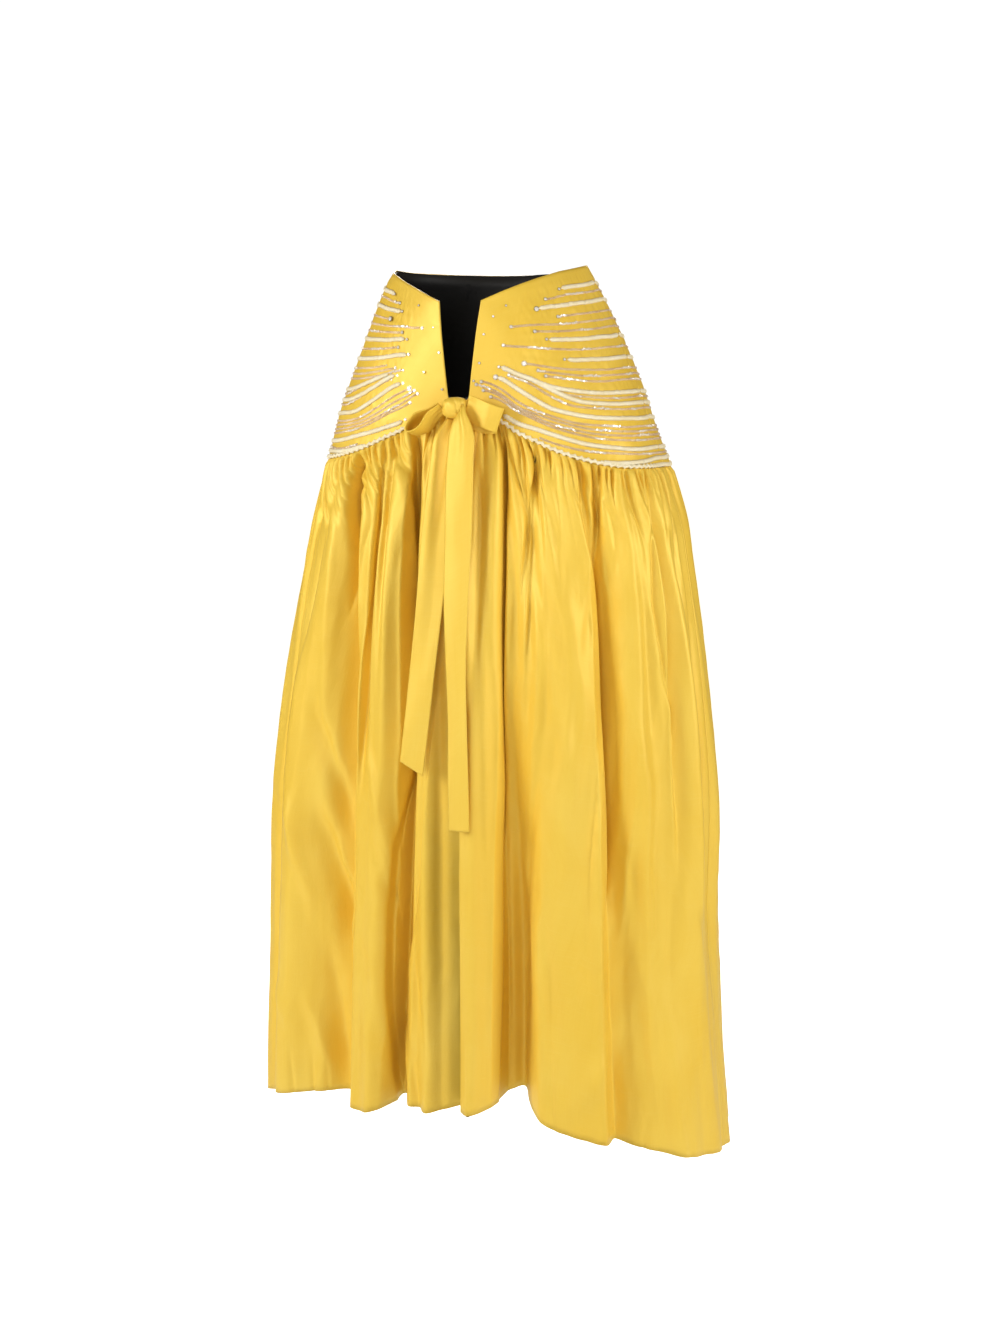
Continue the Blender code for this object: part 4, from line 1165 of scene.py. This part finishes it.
def linkTemplate():
    # one stitch of the chain: a wire ring spun from a small triangle, drawn out to a drop shape
    build = bmesh.new()
    wire = stitches["linkWire"]
    bmesh.ops.create_circle(build, segments=3, radius=wire)
    bmesh.ops.rotate(build, verts=build.verts, matrix=Matrix.Rotation(math.pi / 2, 3, "X"))
    bmesh.ops.translate(build, verts=build.verts, vec=(1 - wire, 0, 0))
    spun = {"axis": (0, 0, 1), "cent": (0, 0, 0), "angle": 2 * math.pi, "steps": 7, "use_merge": True}
    bmesh.ops.spin(build, geom=list(build.edges), **spun)
    bmesh.ops.remove_doubles(build, verts=build.verts, dist=1e-5)
    bmesh.ops.recalc_face_normals(build, faces=build.faces)
    for vert in build.verts:
        x, y, z = vert.co
        reach = math.hypot(x, y)
        ahead, over = x / reach, y / reach
        narrow = 1 - 0.45 * max(ahead, 0) ** 2
        x = ahead * (stitches["linkLength"] / 2 + reach - 1)
        vert.co = (x, over * (narrow * stitches["linkWidth"] / 2 + reach - 1), z)
    return builtMesh("link", build)


def vertsOf(geometry):
    return [item for item in geometry if isinstance(item, bmesh.types.BMVert)]


def chainMesh(build, path, template):
    points, onward, outward, across, _ = path
    row = bmesh.new()
    row.from_mesh(template)
    base = list(row.verts) + list(row.edges) + list(row.faces)
    frames = []
    for place, ahead, out, side in zip(points, onward, outward, across):
        turnTo = Matrix((ahead, side, out)).transposed().to_4x4()
        frames.append(Matrix.Translation(Vector(place + out * stitches["linkLift"])) @ turnTo)
    for index, place in enumerate(frames[1:], 1):
        tilt = Matrix.Rotation(stitches["linkTilts"][index % 2], 4, "Y")
        copy = bmesh.ops.duplicate(row, geom=base)
        bmesh.ops.transform(row, matrix=place @ tilt, verts=vertsOf(copy["geom"]))
    bmesh.ops.transform(row, matrix=frames[0], verts=vertsOf(base))
    addMesh(build, builtMesh("row", row))


def closed(build):
    bmesh.ops.remove_doubles(build, verts=build.verts, dist=2e-5)
    bmesh.ops.recalc_face_normals(build, faces=build.faces)
    return builtMesh("stitching", build)


def regionRows():
    # each row in each region: label, number, kind, share, angle where it starts, the angles it runs between
    for label, column in (("Left", 2), ("Back", 2), ("Right", 3)):
        for index, row in enumerate(stitchRows):
            spans = {"Left": (row[2], 90.05), "Back": (89.95, 270.05), "Right": (269.95, 360 - row[3])}
            yield label, index, row[0], row[1], row[column], spans[label]


def makeRows():
    template = linkTemplate()
    builds = {(label, kind): bmesh.new() for label in ("Left", "Back", "Right") for kind in ("cord", "chain")}
    halfWidth, height, pitch = (stitches[key] for key in ("cordHalfWidth", "cordHeight", "cordPitch"))
    for label, index, kind, level, start, span in regionRows():
        step = pitch / 3 if kind == "cord" else stitches["linkStep"]
        path = rowPath(level, start, *span, step, 100 + index)
        if kind == "cord":
            cordMesh(builds[label, kind], path, halfWidth, height, pitch, 6)
        else:
            chainMesh(builds[label, kind], path, template)
    for (label, kind), build in builds.items():
        if kind == "cord":
            finishPiece("yokeCords" + label, closed(build), [creamCord], None)
        else:
            finishPiece("yokeChains" + label, closed(build), [chainThread])
    bpy.data.meshes.remove(template)


makeRows()

sequins = {"step": 0.0031, "radius": 0.0018, "height": 0.0018, "thick": 0.0004, "nod": 0.3, "aside": 0.0010,
           "from": 0.50}
sequinShine = {"Metallic": 0.25, "Specular IOR Level": 1.0}
sequinFinish = plainFinish("sequin", "sequin", "sequinWarm", 0.14, sequinShine)


def addDisc(build, segments, radius, top, depth, matrix):
    bmesh.ops.create_cone(build, cap_ends=True, segments=segments, radius1=radius, radius2=top, depth=depth,
                          matrix=matrix)


def facing(outward):
    return Vector(outward).to_track_quat("Z", "Y").to_matrix().to_4x4()


def flatPiece(name, build, finish):
    bmesh.ops.recalc_face_normals(build, faces=build.faces)
    finishPiece(name, builtMesh(name, build), [finish]).data.shade_flat()


def makeSequins():
    # small discs sewn in groups along the chain rows, each tilted its own way
    build, chance = bmesh.new(), np.random.default_rng(77)
    nods, radius = sequins["nod"], sequins["radius"]
    for label, index, kind, level, start, span in regionRows():
        if kind == "cord":
            continue
        points, _, outward, across, places = rowPath(level, start, *span, sequins["step"], 100 + index)
        cluster = ripples(300 + index, 4, (6, 16), (0.0, 0.1), 0.0)(places + span[0] * 0.004, 0.0)
        for point, out, side, sewn in zip(points, outward, across, cluster > sequins["from"]):
            nod, aside = chance.uniform(-nods, nods, 3), chance.uniform(-sequins["aside"], sequins["aside"])
            if sewn:
                place = Matrix.Translation(Vector(point + out * sequins["height"] + side * aside))
                addDisc(build, 6, radius, radius * 0.8, sequins["thick"], place @ facing(out + nod))
    flatPiece("yokeSequins", build, sequinFinish)


makeSequins()

seamBraid = {
    "start": 9.0, "radius": 0.0026, "height": 0.0019, "share": 0.992, "pitch": 0.0050, "sway": 0.0011,
}


def makeSeamBraid():
    build = bmesh.new()
    start, pitch = seamBraid["start"], seamBraid["pitch"]
    path = rowPath(seamBraid["share"], 0, start, 360 - start, pitch / 5, 90)
    points, onward, outward, across, places = path
    points = points + across * (seamBraid["sway"] * np.sin(places / pitch * 3.1))[:, None]
    path = points, onward, outward, across, places
    cordMesh(build, path, seamBraid["radius"], seamBraid["height"], pitch, 8)
    finishPiece("seamBraid", closed(build), [creamCord], "seam_braid")


makeSeamBraid()
print("stitching made")

# stones: one at the start of most rows, and a few on their own

stones = {
    "sizes": {"cord": 0.0021, "chain": 0.0024},
    "large": 0.0036,
    "largeEvery": 7,
    "before": 1.0,
    # angle, share, radius
    "single": (
        (16, 0.30, 0.0016), (22, 0.17, 0.0015), (13, 0.55, 0.0017), (9.5, 0.72, 0.0016),
        (-17, 0.24, 0.0015), (-12, 0.46, 0.0017), (-21, 0.62, 0.0016), (-9.5, 0.80, 0.0016),
        (30, 0.11, 0.0015), (-30, 0.10, 0.0015),
    ),
}


def addStone(gems, seats, angle, share, radius):
    # a cut stone in a round seat with four claws
    angle, share = np.array([float(angle)]), np.array([float(share)])
    place, out = yokePlace(angle, share)[0], yokeOutward(angle, share)[0]
    crown = Matrix.Translation(Vector(place + out * (0.0010 + radius * 0.22))) @ facing(out)
    addDisc(gems, 8, radius, radius * 0.55, radius * 0.45, crown)
    seat = Matrix.Translation(Vector(place + out * 0.0006)) @ facing(out)
    addDisc(seats, 12, radius * 1.18, radius * 1.1, 0.0010, seat)
    for claw in range(4):
        around = Matrix.Rotation(claw * math.pi / 2 + 0.4, 4, "Z")
        around = around @ Matrix.Translation((radius * 1.02, 0, 0.0008))
        addDisc(seats, 4, radius * 0.16, radius * 0.08, 0.0018, seat @ around)


def makeStones():
    gems, seats = bmesh.new(), bmesh.new()
    for index, (kind, level, left, right) in enumerate(stitchRows[:-2]):
        for side, start in ((1, left), (-1, right)):
            large = (index + (side > 0)) % stones["largeEvery"] == 3
            size = stones["large"] if large else stones["sizes"][kind]
            share = rowShare(level, start, np.array(float(side * start)))
            addStone(gems, seats, side * (start - stones["before"]), share, size)
    for angle, share, radius in stones["single"]:
        addStone(gems, seats, angle, share, radius)
    flatPiece("yokeStones", gems, stoneFinish)
    flatPiece("stoneSettings", seats, settingFinish)


makeStones()
print("stones made")

# floor and lights

stage = {"floorHeight": -1.62, "floorSize": 30.0, "glow": 0.22, "seen": 1.05, "floorGlow": 0.95}


def makeStage():
    build = bmesh.new()
    bmesh.ops.create_grid(build, x_segments=1, y_segments=1, size=stage["floorSize"])
    bmesh.ops.translate(build, verts=build.verts, vec=(0, 0, stage["floorHeight"]))
    floor = shown("floor", builtMesh("floor", build))
    paper, tree, shader = startMaterial("floorPaper")
    cameraRay = addNode(tree, "ShaderNodeLightPath", {}, {}).outputs["Is Camera Ray"]
    fill(tree, shader, {
        "Base Color": colour("paper"), "Roughness": 0.8, "Emission Color": colour("white"),
        "Emission Strength": maths(tree, "MULTIPLY", cameraRay, stage["floorGlow"]),
    })
    floor.data.materials.append(paper)


lamps = (
    {"name": "keyLight", "at": (-2.00, -2.25, 0.40), "size": 1.3, "power": 55},
    {"name": "sideLight", "at": (2.9, -0.7, 0.1), "size": 1.4, "power": 47},
    {"name": "fillLight", "at": (0.5, -3.1, 0.2), "size": 1.6, "power": 22},
    {"name": "backLight", "at": (-0.8, 2.8, 1.2), "size": 1.6, "power": 72},
)
lampTarget = Vector((0, 0, -0.65))


def makeLights():
    for lamp in lamps:
        data = bpy.data.lights.new(lamp["name"], "AREA")
        data.shape = "DISK"
        data.size = lamp["size"]
        data.energy = lamp["power"]
        light = shown(lamp["name"], data)
        light.location = lamp["at"]
        light.rotation_euler = (lampTarget - Vector(lamp["at"])).to_track_quat("-Z", "Y").to_euler()
    world = bpy.data.worlds.new("studio")
    bpy.context.scene.world = world
    world.use_nodes = True
    tree = world.node_tree
    seen = tree.nodes["Background"]
    fill(tree, seen, {"Color": colour("white"), "Strength": stage["seen"]})
    warm = {"Color": colour("roomGlow"), "Strength": stage["glow"]}
    glow = addNode(tree, "ShaderNodeBackground", {}, warm).outputs[0]
    cameraRay = addNode(tree, "ShaderNodeLightPath", {}, {}).outputs["Is Camera Ray"]
    both = addNode(tree, "ShaderNodeMixShader", {}, {0: cameraRay, 1: glow, 2: seen.outputs[0]})
    fill(tree, tree.nodes["World Output"], {"Surface": both.outputs[0]})
    bpy.context.scene.view_settings.view_transform = "Standard"


makeStage()
makeLights()
print("stage and lights made")
